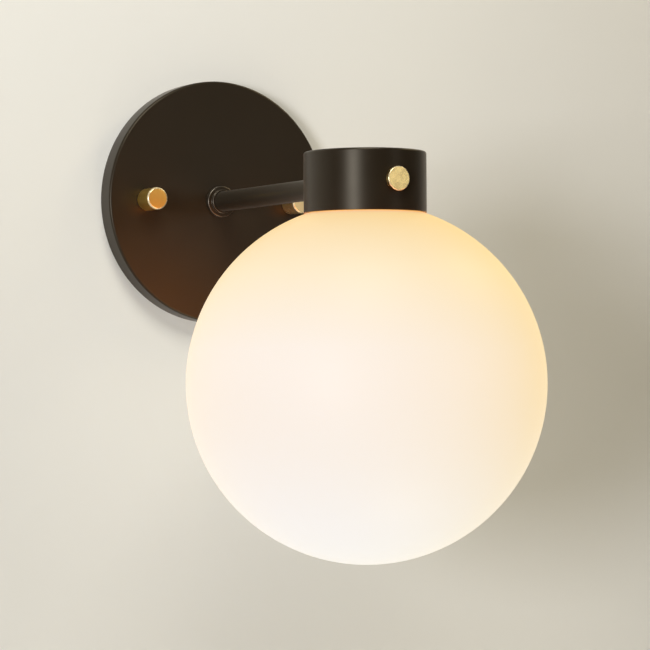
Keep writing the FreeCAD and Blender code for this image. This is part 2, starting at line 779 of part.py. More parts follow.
def cone(name, floor_radius, top_radius, height, up):
    item = document.addObject("Part::Cone", name)
    bind(item, Radius1=floor_radius, Radius2=top_radius, Height=height)
    return place(item, out="arm_reach", up=up)


def ellipsoid(name, shrink):
    """The lamp's outer form, or the hollow inside it, by how far it lies within the outer one."""
    item = document.addObject("Part::Ellipsoid", name)
    radius = f"bulb_diameter / 2 - {shrink}"
    bind(item, Radius1=f"bulb_length / 2 - {shrink}", Radius2=radius, Radius3=radius)
    return place(item, out="arm_reach", up=BULB_MIDDLE)


def make_bulb():
    contact = cone("bulb_contact_tip", "base_contact_diameter / 2", "base_contact_diameter / 4",
                   "base_contact_height", INSULATOR_TOP)
    keep(contact, "bulb_contact")
    insulator = cone("bulb_insulator_cone", BULB_NECK, "base_contact_diameter / 2",
                     "insulator_height", BASE_TOP)
    keep(insulator, "bulb_insulator")
    base = turned_upright("bulb_base_turned", [
        ("base_diameter / 2 - base_wall", BASE_FLOOR),
        ("base_diameter / 2", BASE_FLOOR),
        ("base_diameter / 2", BASE_TOP),
        ("base_diameter / 2 - base_wall", BASE_TOP),
    ])
    place(base, out="arm_reach")
    keep(base, "bulb_base")
    neck_height = "bulb_overlap + bulb_shoulder"
    neck_floor = f"{BULB_TOP} - bulb_shoulder"
    outside = joined("bulb_outside", [
        ellipsoid("bulb_form", "0"),
        cylinder("bulb_neck_form", BULB_NECK, neck_height, "0", "arm_reach", neck_floor),
    ])
    inside = joined("bulb_inside", [
        ellipsoid("bulb_hollow", "bulb_wall"),
        cylinder("bulb_neck_hollow", f"{BULB_NECK} - bulb_wall", f"{neck_height} + 1", "0",
                 "arm_reach", neck_floor),
    ])
    keep(cut("bulb_glass_body", outside, inside), "bulb_glass")
    stem_top = f"{BULB_TOP} + bulb_overlap"
    stem = cylinder("bulb_stem_rod", "stem_diameter / 2", "stem_length", "0", "arm_reach",
                    f"{stem_top} - stem_length")
    keep(stem, "bulb_stem")
    sticks = []
    for number in range(4):
        angle = 45 + 90 * number
        sticks.append(cylinder(f"filament_{number}", "filament_diameter / 2", "filament_length",
                               f"filament_circle / 2 * cos({angle})",
                               f"arm_reach + filament_circle / 2 * sin({angle})",
                               f"{BULB_MIDDLE} - filament_length / 2"))
    keep(group("filament_set", sticks), "bulb_filament")


# Globe

def make_globe():
    """The blown glass as one form, written as four nodes: neck, shoulder, belt and bottom."""
    body = document.addObject("PartDesign::Body", "globe_body")
    sketch = blank_sketch(body, "globe_outline", "XZ_Plane")
    centre = FreeCAD.Vector(0, value(GLOBE_MIDDLE), 0)
    neck_radii = (NECK_RADIUS, f"({NECK_RADIUS} - globe_wall)")
    globe_radii = (GLOBE_RADIUS, f"({GLOBE_RADIUS} - globe_wall)")
    rises = [
        math.asin(math.sqrt(1 - (value(neck) / value(globe)) ** 2))
        for neck, globe in zip(neck_radii, globe_radii)
    ]
    top = value("neck_rise")
    for neck, globe, rise in zip(neck_radii, globe_radii, rises):
        circle = Part.Circle(centre, FreeCAD.Vector(0, 0, 1), value(globe))
        sketch.addGeometry(Part.ArcOfCircle(circle, -math.pi / 2, rise))
        shoulder = FreeCAD.Vector(value(neck), centre.y + value(globe) * math.sin(rise), 0)
        sketch.addGeometry(Part.LineSegment(shoulder, FreeCAD.Vector(value(neck), top, 0)))
    outer_arc, outer_neck, inner_arc, inner_neck = range(4)
    rim = sketch.addGeometry(Part.LineSegment(
        FreeCAD.Vector(value(neck_radii[0]), top, 0), FreeCAD.Vector(value(neck_radii[1]), top, 0)))
    pole = sketch.addGeometry(Part.LineSegment(
        FreeCAD.Vector(0, centre.y - value(globe_radii[1]), 0),
        FreeCAD.Vector(0, centre.y - value(globe_radii[0]), 0)))
    meetings = (
        (outer_arc, 2, outer_neck, 1),
        (outer_neck, 2, rim, 1),
        (rim, 2, inner_neck, 2),
        (inner_neck, 1, inner_arc, 2),
        (inner_arc, 1, pole, 1),
        (pole, 2, outer_arc, 1),
        (inner_arc, 3, outer_arc, 3),
    )
    for meeting in meetings:
        sketch.addConstraint(Sketcher.Constraint("Coincident", *meeting))
    pin_point(sketch, outer_arc, 3, "0", GLOBE_MIDDLE)
    for arc, radius in zip((outer_arc, inner_arc), globe_radii):
        measure(sketch, "Radius", (arc,), radius)
    for line, radius in zip((outer_neck, inner_neck), neck_radii):
        sketch.addConstraint(Sketcher.Constraint("Vertical", line))
        measure(sketch, "DistanceX", (-1, 1, line, 2), radius)
    for end in (1, 2):
        sketch.addConstraint(Sketcher.Constraint("PointOnObject", pole, end, -2))
    sketch.addConstraint(Sketcher.Constraint("Horizontal", rim))
    measure(sketch, "DistanceY", (-1, 1, rim, 1), "neck_rise")
    turn = body.newObject("PartDesign::Revolution", "globe_turn")
    turn.Profile = sketch
    turn.ReferenceAxis = (sketch, ["V_Axis"])
    turn.Angle = 360
    for name, neck, globe in zip(("outside", "inside"), neck_radii, globe_radii):
        shoulder = f"{GLOBE_MIDDLE} + sqrt({globe} ^ 2 - {neck} ^ 2)"
        softened(body, f"globe_{name}_shoulder", "Fillet", (neck, "z", shoulder), "neck_fillet")
    softened(body, "globe_rim", "Fillet", (NECK_RADIUS, "z", "neck_rise"), "neck_rim")
    place(body, out="arm_reach")
    above = cylinder("above_neck_foot", "globe_diameter / 2", "neck_foot + neck_rise + 1", "0",
                     "arm_reach", "-neck_foot")
    foot = f"{GLOBE_MIDDLE} - globe_diameter / 2 - 1"
    below = cylinder("below_globe_middle", "globe_diameter / 2 + 1", "globe_diameter / 2 + 1", "0",
                     "arm_reach", foot)
    lowest = cylinder("below_globe_belt", "globe_diameter / 2 + 1", "globe_diameter / 4 + 1", "0",
                      "arm_reach", foot)
    keep(cut("globe_belt", shared("globe_lower_half", body, below), lowest), "globe")
    keep(shared("globe_bowl", body, lowest), "globe_bottom")
    keep(shared("globe_neck_ring", body, above), "globe_neck")
    keep(cut("globe_dome", body, joined("beyond_globe_shoulder", [above, below])),
         "globe_shoulder")


# Thumb screw and pads

def make_thumb_screw():
    bush_end = f"(sqrt({CAP_RADIUS} ^ 2 - (bush_diameter / 2) ^ 2) - seat_play)"
    flange_back = f"({BUSH_SEAT} - bush_flange_thickness)"
    bore = "thumb_shank / 2 + thread_play"
    bush = turned_forward("bush_body", [
        (bore, f"{flange_back} - bush_tail"),
        ("bush_diameter / 2", f"{flange_back} - bush_tail"),
        ("bush_diameter / 2", flange_back),
        ("bush_flange / 2", flange_back),
        ("bush_flange / 2", BUSH_SEAT),
        ("bush_diameter / 2", BUSH_SEAT),
        ("bush_diameter / 2", bush_end),
        (bore, bush_end),
    ])
    place(bush, out="arm_reach")
    keep(bush, "thumb_screw_bush")
    head = "thumb_head_diameter / 2"
    face = f"({HEAD_BACK} + thumb_head_thickness)"
    spigot_bore = "spigot_diameter / 2 + thread_play"
    screw = turned_forward("thumb_screw_body", [
        ("0", f"{SHANK_END} + spigot_length + lead_clear"),
        ("0", face),
        (f"{head} - thumb_bevel", face),
        (head, f"{face} - thumb_bevel"),
        (head, HEAD_BACK),
        ("thumb_shank / 2", HEAD_BACK),
        ("thumb_shank / 2", SHANK_END),
        (spigot_bore, SHANK_END),
        (spigot_bore, f"{SHANK_END} + spigot_length + lead_clear"),
    ])
    place(screw, out="arm_reach")
    keep(screw, "thumb_screw")
    tip = turned_forward("tip_body", [
        ("0", GRIP_RADIUS),
        ("tip_diameter / 2 - tip_round", GRIP_RADIUS),
        ("tip_diameter / 2", f"{GRIP_RADIUS} + tip_round"),
        ("tip_diameter / 2", f"{SHANK_END} - seat_play"),
        ("spigot_diameter / 2", f"{SHANK_END} - seat_play"),
        ("spigot_diameter / 2", f"{SHANK_END} + spigot_length"),
        ("0", f"{SHANK_END} + spigot_length"),
    ])
    place(tip, out="arm_reach")
    keep(tip, "thumb_screw_tip")


def make_neck_pads():
    for side, name in ((-1, "left"), (1, "right")):
        pad = turned_upright(f"neck_pad_{name}_body", [
            (GRIP_RADIUS, "-pad_height / 2"),
            (f"{CAP_BORE} - seat_play", "-pad_height / 2"),
            (f"{CAP_BORE} - seat_play", "pad_height / 2"),
            (GRIP_RADIUS, "pad_height / 2"),
        ], sweep="pad_sweep")
        # The pad is drawn towards +X; the thumb screw lies 90 degrees clockwise from there.
        angle = side * value("pad_turn") - 90
        place(pad, out="arm_reach", turn=FreeCAD.Rotation(FreeCAD.Vector(0, 0, 1), angle))
        keep(pad, f"neck_pad_{name}")


# Leads

def rounded_route(points, bends):
    """Straight runs through the points, joined by tangent arcs of the given radii."""
    edges = []
    start = points[0]
    for before, corner, after, radius in zip(points, points[1:], points[2:], bends):
        back = (before - corner).normalize()
        on = (after - corner).normalize()
        half = back.getAngle(on) / 2
        reach = radius / math.tan(half)
        middle = (back + on).normalize() * (radius / math.sin(half) - radius)
        arc_start = corner + back * reach
        arc_end = corner + on * reach
        edges.append(Part.LineSegment(start, arc_start).toShape())
        edges.append(Part.Arc(arc_start, corner + middle, arc_end).toShape())
        start = arc_end
    edges.append(Part.LineSegment(start, points[-1]).toShape())
    return Part.Wire(edges)


def make_lead(label, route, bends):
    """A lead along a route of (across, out, up) points."""
    points = [FreeCAD.Vector(value(x), -value(out), value(z)) for x, out, z in route]
    wire = rounded_route(points, [value(bend) for bend in bends])
    radius = value(LEAD_RADIUS)
    ring = Part.Wire(Part.makeCircle(radius, points[0], points[1] - points[0]))
    lead = document.addObject("Part::Feature", label + "_sweep")
    lead.Shape = wire.makePipeShell([ring], True, False)
    expected = math.pi * radius ** 2 * wire.Length
    print(f"{label}: {wire.Length:.1f} mm long, volume {lead.Shape.Volume / expected:.4f} of expected")
    keep(lead, label)


def make_leads():
    rise = f"arm_reach - {LEAD_RISE}"
    socket_end = "arm_reach - socket_diameter / 2 + lead_entry"
    first_sway = "block_floor - 2"
    second_sway = "block_floor / 2"
    for label, pole, slot in (("lead_live", -1, -1), ("lead_neutral", 1, 0)):
        start = f"{pole} * {POLE}"
        lane = f"{slot} * lead_spacing"
        make_lead(label, [
            (start, "lead_out", "block_floor + lead_grip"),
            (start, "lead_out", first_sway),
            (lane, "lead_out", second_sway),
            (lane, "lead_out", "0"),
            (lane, rise, "0"),
            (lane, rise, LEAD_LEVEL),
            (lane, socket_end, LEAD_LEVEL),
        ], ["lead_sway", "lead_sway", "lead_bend", "lead_turn_up", "lead_turn_up"])
    make_lead("lead_ground", [
        ("ground_screw_place + ground_head / 2 - lead_clear", GROUND_OUT, "0"),
        ("lead_spacing", GROUND_OUT, "0"),
        ("lead_spacing", rise, "0"),
        ("lead_spacing", rise, GROUND_LEVEL),
        ("lead_spacing", "arm_reach + bracket_screw_ahead + bracket_screw_head / 2", GROUND_LEVEL),
    ], ["lead_bend", "lead_turn_up", "lead_turn_up"])


def check_and_write():
    """Stops on any failed object or empty shape, then writes one file a node."""
    document.recompute()
    for item in document.Objects:
        if "Invalid" in item.State or "Error" in item.State:
            raise RuntimeError(f"{item.Label} failed: {item.State}")
    os.makedirs("parts", exist_ok=True)
    for node in nodes:
        if node.Shape.isNull() or not node.Shape.isValid():
            raise RuntimeError(f"{node.Label} has no valid shape")
    for node in nodes:
        node.Shape.exportStep(f"parts/{node.Label}.step")
        solids = len(node.Shape.Solids)
        print(f"{node.Label}: {solids} solid(s), {node.Shape.Volume:.1f} cubic mm")


make_backplate()
make_crossbar()
make_studs()
make_knobs()
make_ground_screw()
make_terminals()
make_arm()
make_collar()
make_arm_fixings()
make_cap()
make_bracket()
make_bracket_screw()
make_socket()
make_socket_metal()
make_bulb()
make_globe()
make_thumb_screw()
make_neck_pads()
make_leads()
check_and_write()
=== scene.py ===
"""A globe wall sconce: looks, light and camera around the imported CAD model.

The wall is the plane y = 0 and the light stands out from it towards -Y, with +Z up. Lengths of the
pieces are millimetres, and are turned into metres where they reach Blender. The camera and the
lamps are placed in metres. "Out" is the distance from the wall, and a turned piece's profile is a
list of (radius, along) corners, with a third number where the corner is rounded.
"""
import math

import bmesh
import bpy
from mathutils import Matrix, Vector


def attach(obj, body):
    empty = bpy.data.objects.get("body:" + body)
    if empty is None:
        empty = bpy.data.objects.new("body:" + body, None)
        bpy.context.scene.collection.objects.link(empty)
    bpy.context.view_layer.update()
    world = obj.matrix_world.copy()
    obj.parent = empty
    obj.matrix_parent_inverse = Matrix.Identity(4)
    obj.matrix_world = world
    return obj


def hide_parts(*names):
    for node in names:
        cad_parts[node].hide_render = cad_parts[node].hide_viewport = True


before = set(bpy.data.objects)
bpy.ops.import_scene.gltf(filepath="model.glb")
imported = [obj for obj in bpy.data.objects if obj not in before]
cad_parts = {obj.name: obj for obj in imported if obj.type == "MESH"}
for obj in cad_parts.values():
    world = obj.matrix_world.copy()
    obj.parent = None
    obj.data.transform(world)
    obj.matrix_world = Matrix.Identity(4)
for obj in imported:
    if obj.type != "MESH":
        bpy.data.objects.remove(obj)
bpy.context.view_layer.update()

MM = 0.001

OUTWARD = Vector((0, -1, 0))
UPWARD = Vector((0, 0, 1))
SHARP_ANGLE = math.radians(33)  # edges bent more than this are shaded as edges
HARD_ANGLE = math.radians(60)  # edges bent more than this are broken with a small bevel

# Sizes shared by several pieces, as in the CAD
PLATE_OUT, PLATE_RADIUS = 11.5, 66.7
ARM_OUT, ARM_RADIUS = 172.0, 5.5
CAP_RADIUS, CAP_HALF, CAP_BORE = 30.75, 15.25, 29.15
KNOB_ACROSS, KNOB_OUT = 44.45, 11.8
GLOBE_RADIUS, GLOBE_WALL, GLOBE_UP = 90.0, 2.5, -100.35
NECK_RADIUS, NECK_TOP = 22.0, 3.5
SOCKET_TOP, SOCKET_FLOOR = 11.75, -18.25
HOLDER_SCREW_AHEAD = 9.5
STRAP_TOP = 12.95
STRAP_SCREW = (-0.15, -18.0)  # across and ahead of the cap's axis
BAR_THICKNESS = 1.8
BOX_SCREW_ACROSS = 34.925
EARTH_SCREW = (13.0, 0, 3.15)  # across, out, up
TERMINALS_UP = 21.5
STUD_PITCH, LAMP_PITCH = 0.79375, 2.54

scene = bpy.context.scene
scene.view_settings.view_transform = "Standard"


def place(across, out, up):
    """A point of the room, in metres."""
    return Vector((across, -out, up)) * MM


# Shapes

def bevel(shape, items, size, segments, affect="EDGES"):
    """Rounds edges, or the corners of a wire."""
    bmesh.ops.bevel(shape, geom=items, offset=size * MM, offset_type="OFFSET", segments=segments,
                    profile=0.5, affect=affect, clamp_overlap=True, material=-1)


def break_edges(shape, size, segments=2):
    """Takes the sharpness off every hard edge of a form."""
    hard = [edge for edge in shape.edges
            if edge.is_manifold and edge.calc_face_angle(0) > HARD_ANGLE]
    bevel(shape, hard, size, segments)


def edges_through(shape):
    """The edges of a flat form that run through its thickness, along y."""
    return [edge for edge in shape.edges
            if abs((edge.verts[0].co - edge.verts[1].co).normalized().y) > 0.9]


def soften(shape, corners):
    """Rounds the corners of an outline, each given with its radius, while it is still a wire."""
    for corner, radius in corners:
        bevel(shape, [corner], radius, 4 if radius > 0.4 else 3, "VERTICES")


def wire(shape, points, closed):
    """A chain of edges through points of (x, z, optional rounding), in the y = 0 plane."""
    corners = [shape.verts.new((point[0] * MM, 0, point[1] * MM)) for point in points]
    follow = corners[1:] + corners[:1] if closed else corners[1:]
    for start, end in zip(corners, follow):
        shape.edges.new((start, end))
    soften(shape, [(corner, point[2]) for corner, point in zip(corners, points) if len(point) > 2])


def spin(shape, steps, angle=2 * math.pi):
    whole = abs(angle - 2 * math.pi) < 1e-6
    everything = shape.verts[:] + shape.edges[:]
    bmesh.ops.spin(shape, geom=everything, cent=(0, 0, 0), axis=UPWARD, angle=angle, steps=steps,
                   use_merge=whole, use_duplicate=False)
    bmesh.ops.remove_doubles(shape, verts=shape.verts[:], dist=1e-7)


def turned(points, steps):
    """A form turned about the z axis. A profile that starts on the axis ends on it too."""
    shape = bmesh.new()
    wire(shape, points, closed=points[0][0] > 0)
    spin(shape, steps)
    bmesh.ops.recalc_face_normals(shape, faces=shape.faces[:])
    return shape


def sector(points, angle, steps):
    """A closed profile turned through part of a circle, centred on +X, with its ends filled."""
    shape = bmesh.new()
    wire(shape, points, closed=True)
    bmesh.ops.rotate(shape, verts=shape.verts[:], matrix=Matrix.Rotation(-angle / 2, 3, "Z"))
    spin(shape, steps, angle)
    bmesh.ops.holes_fill(shape, edges=shape.edges[:], sides=0)
    bmesh.ops.recalc_face_normals(shape, faces=shape.faces[:])
    return shape


def rod(radius, start, end, steps=48, rounding=0.0):
    ends = [(radius, start, rounding), (radius, end, rounding)] if rounding else \
        [(radius, start), (radius, end)]
    return turned([(0, start)] + ends + [(0, end)], steps)


def block(width, depth, height, rounding=0.0):
    """A box about the origin, its edges rounded."""
    shape = bmesh.new()
    bmesh.ops.create_cube(shape, size=1.0)
    bmesh.ops.scale(shape, verts=shape.verts[:], vec=Vector((width, depth, height)) * MM)
    if rounding:
        bevel(shape, shape.edges[:], rounding, 3)
    return shape


def hexagon(flats, start, end):
    """A six-sided prism along the z axis."""
    shape = bmesh.new()
    corner = flats / math.sqrt(3) * MM
    bmesh.ops.create_cone(shape, cap_ends=True, segments=6, radius1=corner, radius2=corner,
                          depth=(end - start) * MM)
    bmesh.ops.translate(shape, verts=shape.verts[:], vec=(0, 0, (start + end) / 2 * MM))
    return shape


def thread(profile, pitch, start, end, steps):
    """A wound surface: one turn of a profile of (radius, along) points, repeated up the rod."""
    shape = bmesh.new()
    points = [shape.verts.new((radius * MM, 0, (start - pitch + along) * MM))
              for radius, along in profile]
    for lower, upper in zip(points, points[1:]):
        shape.edges.new((lower, upper))
    bmesh.ops.spin(shape, geom=shape.verts[:] + shape.edges[:], cent=(0, 0, 0), axis=UPWARD,
                   dvec=(0, 0, pitch * MM / steps), angle=2 * math.pi, steps=steps,
                   use_merge=False, use_duplicate=False)
    turn = shape.verts[:] + shape.edges[:] + shape.faces[:]
    for number in range(1, math.ceil((end - start) / pitch) + 2):
        copy = bmesh.ops.duplicate(shape, geom=turn)["geom"]
        corners = [item for item in copy if isinstance(item, bmesh.types.BMVert)]
        bmesh.ops.translate(shape, verts=corners, vec=(0, 0, number * pitch * MM))
    bmesh.ops.remove_doubles(shape, verts=shape.verts[:], dist=1e-6)
    for level, side in ((start, False), (end, True)):
        everything = shape.verts[:] + shape.edges[:] + shape.faces[:]
        bmesh.ops.bisect_plane(shape, geom=everything, plane_co=(0, 0, level * MM), dist=1e-7,
                               plane_no=UPWARD, clear_outer=side, clear_inner=not side)
    return shape


def threaded_rod(root, crest, pitch, start, end, steps=24):
    """A solid rod with a sharp thread along it, its ends filled flat."""
    profile = [(root, 0), (root, pitch * 0.12), (crest, pitch * 0.44), (crest, pitch * 0.56),
               (root, pitch * 0.88), (root, pitch)]
    shape = thread(profile, pitch, start, end, steps)
    bmesh.ops.holes_fill(shape, edges=shape.edges[:], sides=0)
    bmesh.ops.recalc_face_normals(shape, faces=shape.faces[:])
    return shape


def stand(shape, where, turn=None):
    """Turns a form and moves it to its place."""
    if turn is not None:
        bmesh.ops.transform(shape, verts=shape.verts[:], matrix=turn)
    bmesh.ops.translate(shape, verts=shape.verts[:], vec=where)
    return shape


FACING_OUT = Matrix.Rotation(math.radians(90), 4, "X")


def out_from_wall(shape, across=0.0, out=0.0, up=0.0):
    """A form drawn along +Z made to point away from the wall."""
    return stand(shape, place(across, out, up), FACING_OUT)


def under_cap(shape, across=0.0, ahead=0.0):
    """A form drawn about the z axis moved to the cap's axis."""
    return stand(shape, place(across, ARM_OUT + ahead, 0.0))


# Objects

def as_object(shape, name):
    mesh = bpy.data.meshes.new(name)
    shape.to_mesh(mesh)
    shape.free()
    item = bpy.data.objects.new(name, mesh)
    scene.collection.objects.link(item)
    return item


def together(shapes):
    """Several forms in one."""
    whole = bmesh.new()
    for shape in shapes:
        mesh = bpy.data.meshes.new("part_of_whole")
        shape.to_mesh(mesh)
        shape.free()
        whole.from_mesh(mesh)
        bpy.data.meshes.remove(mesh)
    return whole


def carved(shape, cutters, operation="DIFFERENCE"):
    """A form with the cutters taken out of it, or with only what they share kept."""
    item = as_object(shape, "blank")
    tools = [as_object(cutter, "cutter") for cutter in cutters]
    for tool in tools:
        step = item.modifiers.new("carve", "BOOLEAN")
        step.operation = operation
        step.solver = "EXACT"
        step.object = tool
    bpy.context.view_layer.update()
    graph = bpy.context.evaluated_depsgraph_get()
    result = bmesh.new()
    result.from_object(item, graph)
    for thing in [item] + tools:
        mesh = thing.data
        bpy.data.objects.remove(thing)
        bpy.data.meshes.remove(mesh)
    return result


def piece(name, shape, body, slot, finish, *nodes):
    """A finished piece that stands for CAD nodes; its long flat faces are shaded flat."""
    for face in shape.faces:
        face.smooth = True
    for edge in shape.edges:
        edge.smooth = edge.is_manifold and edge.calc_face_angle(0) < SHARP_ANGLE
    item = as_object(shape, name)
    item.data.materials.append(finish)
    even = item.modifiers.new("even_shading", "WEIGHTED_NORMAL")
    even.keep_sharp = True
    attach(item, body)
    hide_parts(*nodes)
    return item


def highlight_painted_edge(item, finish):
    """A lighter, shinier second finish on the bevels of the outer faces: a painted highlight along
    the edges.

    A bevel's faces look outwards, but neither straight out nor sideways.
    """
    least, most = 0.35, 0.96
    item.data.materials.append(finish)
    for face in item.data.polygons:
        if least < face.normal.dot(OUTWARD) < most:
            face.material_index = 1


# Effects that several finishes use

def effect(name, inputs, outputs):
    """An empty node group with named inputs, given with their defaults, and outputs."""
    group = bpy.data.node_groups.new(name, "ShaderNodeTree")
    for label, kind, default in inputs:
        socket = group.interface.new_socket(label, in_out="INPUT", socket_type=kind)
        socket.default_value = default
    for label, kind in outputs:
        group.interface.new_socket(label, in_out="OUTPUT", socket_type=kind)
    return group, group.nodes.new("NodeGroupInput"), group.nodes.new("NodeGroupOutput")


def add(tree, kind, **settings):
    node = tree.nodes.new(kind)
    for name, setting in settings.items():
        setattr(node, name, setting)
    return node


def make_mottle():
    """Slow changes between two values over a surface, and fine grain for a bump."""
    group, given, result = effect(
        "mottle",
        [("Size", "NodeSocketFloat", 30.0), ("Low", "NodeSocketFloat", 0.0),
         ("High", "NodeSocketFloat", 1.0), ("Grain Size", "NodeSocketFloat", 900.0)],
        [("Value", "NodeSocketFloat"), ("Grain", "NodeSocketFloat")])
    where = add(group, "ShaderNodeTexCoord")
    slow = add(group, "ShaderNodeTexNoise")
    slow.inputs["Detail"].default_value = 3.0
    spread = add(group, "ShaderNodeMapRange")
    spread.inputs["From Min"].default_value = 0.3
    spread.inputs["From Max"].default_value = 0.7
    grain = add(group, "ShaderNodeTexNoise")
    grain.inputs["Detail"].default_value = 2.0
    link = group.links.new
    link(where.outputs["Object"], slow.inputs["Vector"])
    link(given.outputs["Size"], slow.inputs["Scale"])
    link(slow.outputs["Fac"], spread.inputs["Value"])
    link(given.outputs["Low"], spread.inputs["To Min"])
    link(given.outputs["High"], spread.inputs["To Max"])
    link(spread.outputs["Result"], result.inputs["Value"])
    link(where.outputs["Object"], grain.inputs["Vector"])
    link(given.outputs["Grain Size"], grain.inputs["Scale"])
    link(grain.outputs["Fac"], result.inputs["Grain"])
    return group


def make_tool_marks():
    """Fine rings left by a lathe, about a line given by its place and seen along Y or Z."""
    group, given, result = effect(
        "tool_marks",
        [("Centre", "NodeSocketVector", (0.0, 0.0, 0.0)),
         ("Flatten", "NodeSocketVector", (1.0, 1.0, 1.0)),
         ("Rings per Metre", "NodeSocketFloat", 6000.0)],
        [("Rings", "NodeSocketFloat")])
    where = add(group, "ShaderNodeTexCoord")
    centred = add(group, "ShaderNodeVectorMath", operation="SUBTRACT")
    flattened = add(group, "ShaderNodeVectorMath", operation="MULTIPLY")
    radius = add(group, "ShaderNodeVectorMath", operation="LENGTH")
    count = add(group, "ShaderNodeMath", operation="MULTIPLY")
    waver = add(group, "ShaderNodeTexNoise", noise_dimensions="1D")
    waver.inputs["Scale"].default_value = 1.0
    waver.inputs["Detail"].default_value = 3.0
    link = group.links.new
    link(where.outputs["Object"], centred.inputs[0])
    link(given.outputs["Centre"], centred.inputs[1])
    link(centred.outputs["Vector"], flattened.inputs[0])
    link(given.outputs["Flatten"], flattened.inputs[1])
    link(flattened.outputs["Vector"], radius.inputs[0])
    link(radius.outputs["Value"], count.inputs[0])
    link(given.outputs["Rings per Metre"], count.inputs[1])
    link(count.outputs["Value"], waver.inputs["W"])
    link(waver.outputs["Fac"], result.inputs["Rings"])
    return group


MOTTLE = make_mottle()
TOOL_MARKS = make_tool_marks()


class Finish:
    """A material with one Principled shader, and helpers that feed it."""

    def __init__(self, name, color, roughness, metallic=0.0, **settings):
        self.material = bpy.data.materials.new(name)
        self.material.use_nodes = True
        self.tree = self.material.node_tree
        self.shader = self.tree.nodes["Principled BSDF"]
        self.shader.inputs["Base Color"].default_value = (*color, 1.0)
        self.shader.inputs["Roughness"].default_value = roughness
        self.shader.inputs["Metallic"].default_value = metallic
        for label, setting in settings.items():
            self.shader.inputs[label.replace("_", " ")].default_value = setting
        self.color = color

    def group(self, source, **values):
        node = add(self.tree, "ShaderNodeGroup", node_tree=source)
        for label, setting in values.items():
            node.inputs[label.replace("_", " ")].default_value = setting
        return node

    def join(self, start, end):
        self.tree.links.new(start, end)

    def roughness_from(self, low, high, size):
        mottle = self.group(MOTTLE, Size=size, Low=low, High=high)
        self.join(mottle.outputs["Value"], self.shader.inputs["Roughness"])
        return self

    def color_between(self, other, size):
        """Slow drift of the colour towards another one."""
        mottle = self.group(MOTTLE, Size=size)
        mix = add(self.tree, "ShaderNodeMix", data_type="RGBA")
        mix.inputs["A"].default_value = (*self.color, 1.0)
        mix.inputs["B"].default_value = (*other, 1.0)
        self.join(mottle.outputs["Value"], mix.inputs["Factor"])
        self.join(mix.outputs["Result"], self.shader.inputs["Base Color"])
        return self

    def bump(self, height, depth, strength):
        node = add(self.tree, "ShaderNodeBump")
        node.inputs["Distance"].default_value = depth * MM
        node.inputs["Strength"].default_value = strength
        self.join(height, node.inputs["Height"])
        previous = self.shader.inputs["Normal"].links
        if previous:
            self.join(previous[0].from_socket, node.inputs["Normal"])
        self.join(node.outputs["Normal"], self.shader.inputs["Normal"])
        return self

    def grainy(self, size, depth, strength):
        return self.bump(self.group(MOTTLE, Grain_Size=size).outputs["Grain"], depth, strength)

    def ringed(self, centre, flatten, per_metre, depth, strength):
        marks = self.group(TOOL_MARKS, Centre=centre, Flatten=flatten,
                           Rings_per_Metre=per_metre)
        return self.bump(marks.outputs["Rings"], depth, strength)

    def clear_from_behind(self):
        """Lets the eye, and no light, through from the back of a surface of the room."""
        side = add(self.tree, "ShaderNodeNewGeometry")
        path = add(self.tree, "ShaderNodeLightPath")
        unseen = add(self.tree, "ShaderNodeMath", operation="MULTIPLY")
        clear = add(self.tree, "ShaderNodeBsdfTransparent")
        mix = add(self.tree, "ShaderNodeMixShader")
        self.join(side.outputs["Backfacing"], unseen.inputs[0])
        self.join(path.outputs["Is Camera Ray"], unseen.inputs[1])
        self.join(unseen.outputs["Value"], mix.inputs["Fac"])
        self.join(self.shader.outputs["BSDF"], mix.inputs[1])
        self.join(clear.outputs["BSDF"], mix.inputs[2])
        self.join(mix.outputs["Shader"], self.tree.nodes["Material Output"].inputs["Surface"])
        return self


def make_bronze():
    finish = Finish("satin_dark_bronze", (0.0160, 0.0106, 0.0056), 0.38,
                    Specular_IOR_Level=0.36, Specular_Tint=(1.0, 0.90, 0.73, 1.0),
                    Sheen_Weight=0.10, Sheen_Roughness=0.4, Sheen_Tint=(1.0, 0.90, 0.78, 1.0))
    finish.color_between((0.0180, 0.0120, 0.0066), 22.0)
    finish.roughness_from(0.35, 0.40, 40.0)
    finish.grainy(1500.0, 0.02, 0.10)
    return finish.material


def make_turned_brass(name, centre, color, other, metallic, roughness):
    finish = Finish(name, color, roughness, metallic=metallic)
    finish.color_between(other, 250.0)
    finish.roughness_from(roughness - 0.02, roughness + 0.03, 300.0)
    finish.ringed(centre, (1.0, 0.0, 1.0), 2600.0, 0.002, 0.25)
    finish.grainy(1600.0, 0.0015, 0.25)
    return finish.material


GLASS_TOP, GLASS_BOTTOM = 0.004, -0.190  # heights in metres between which the glow changes


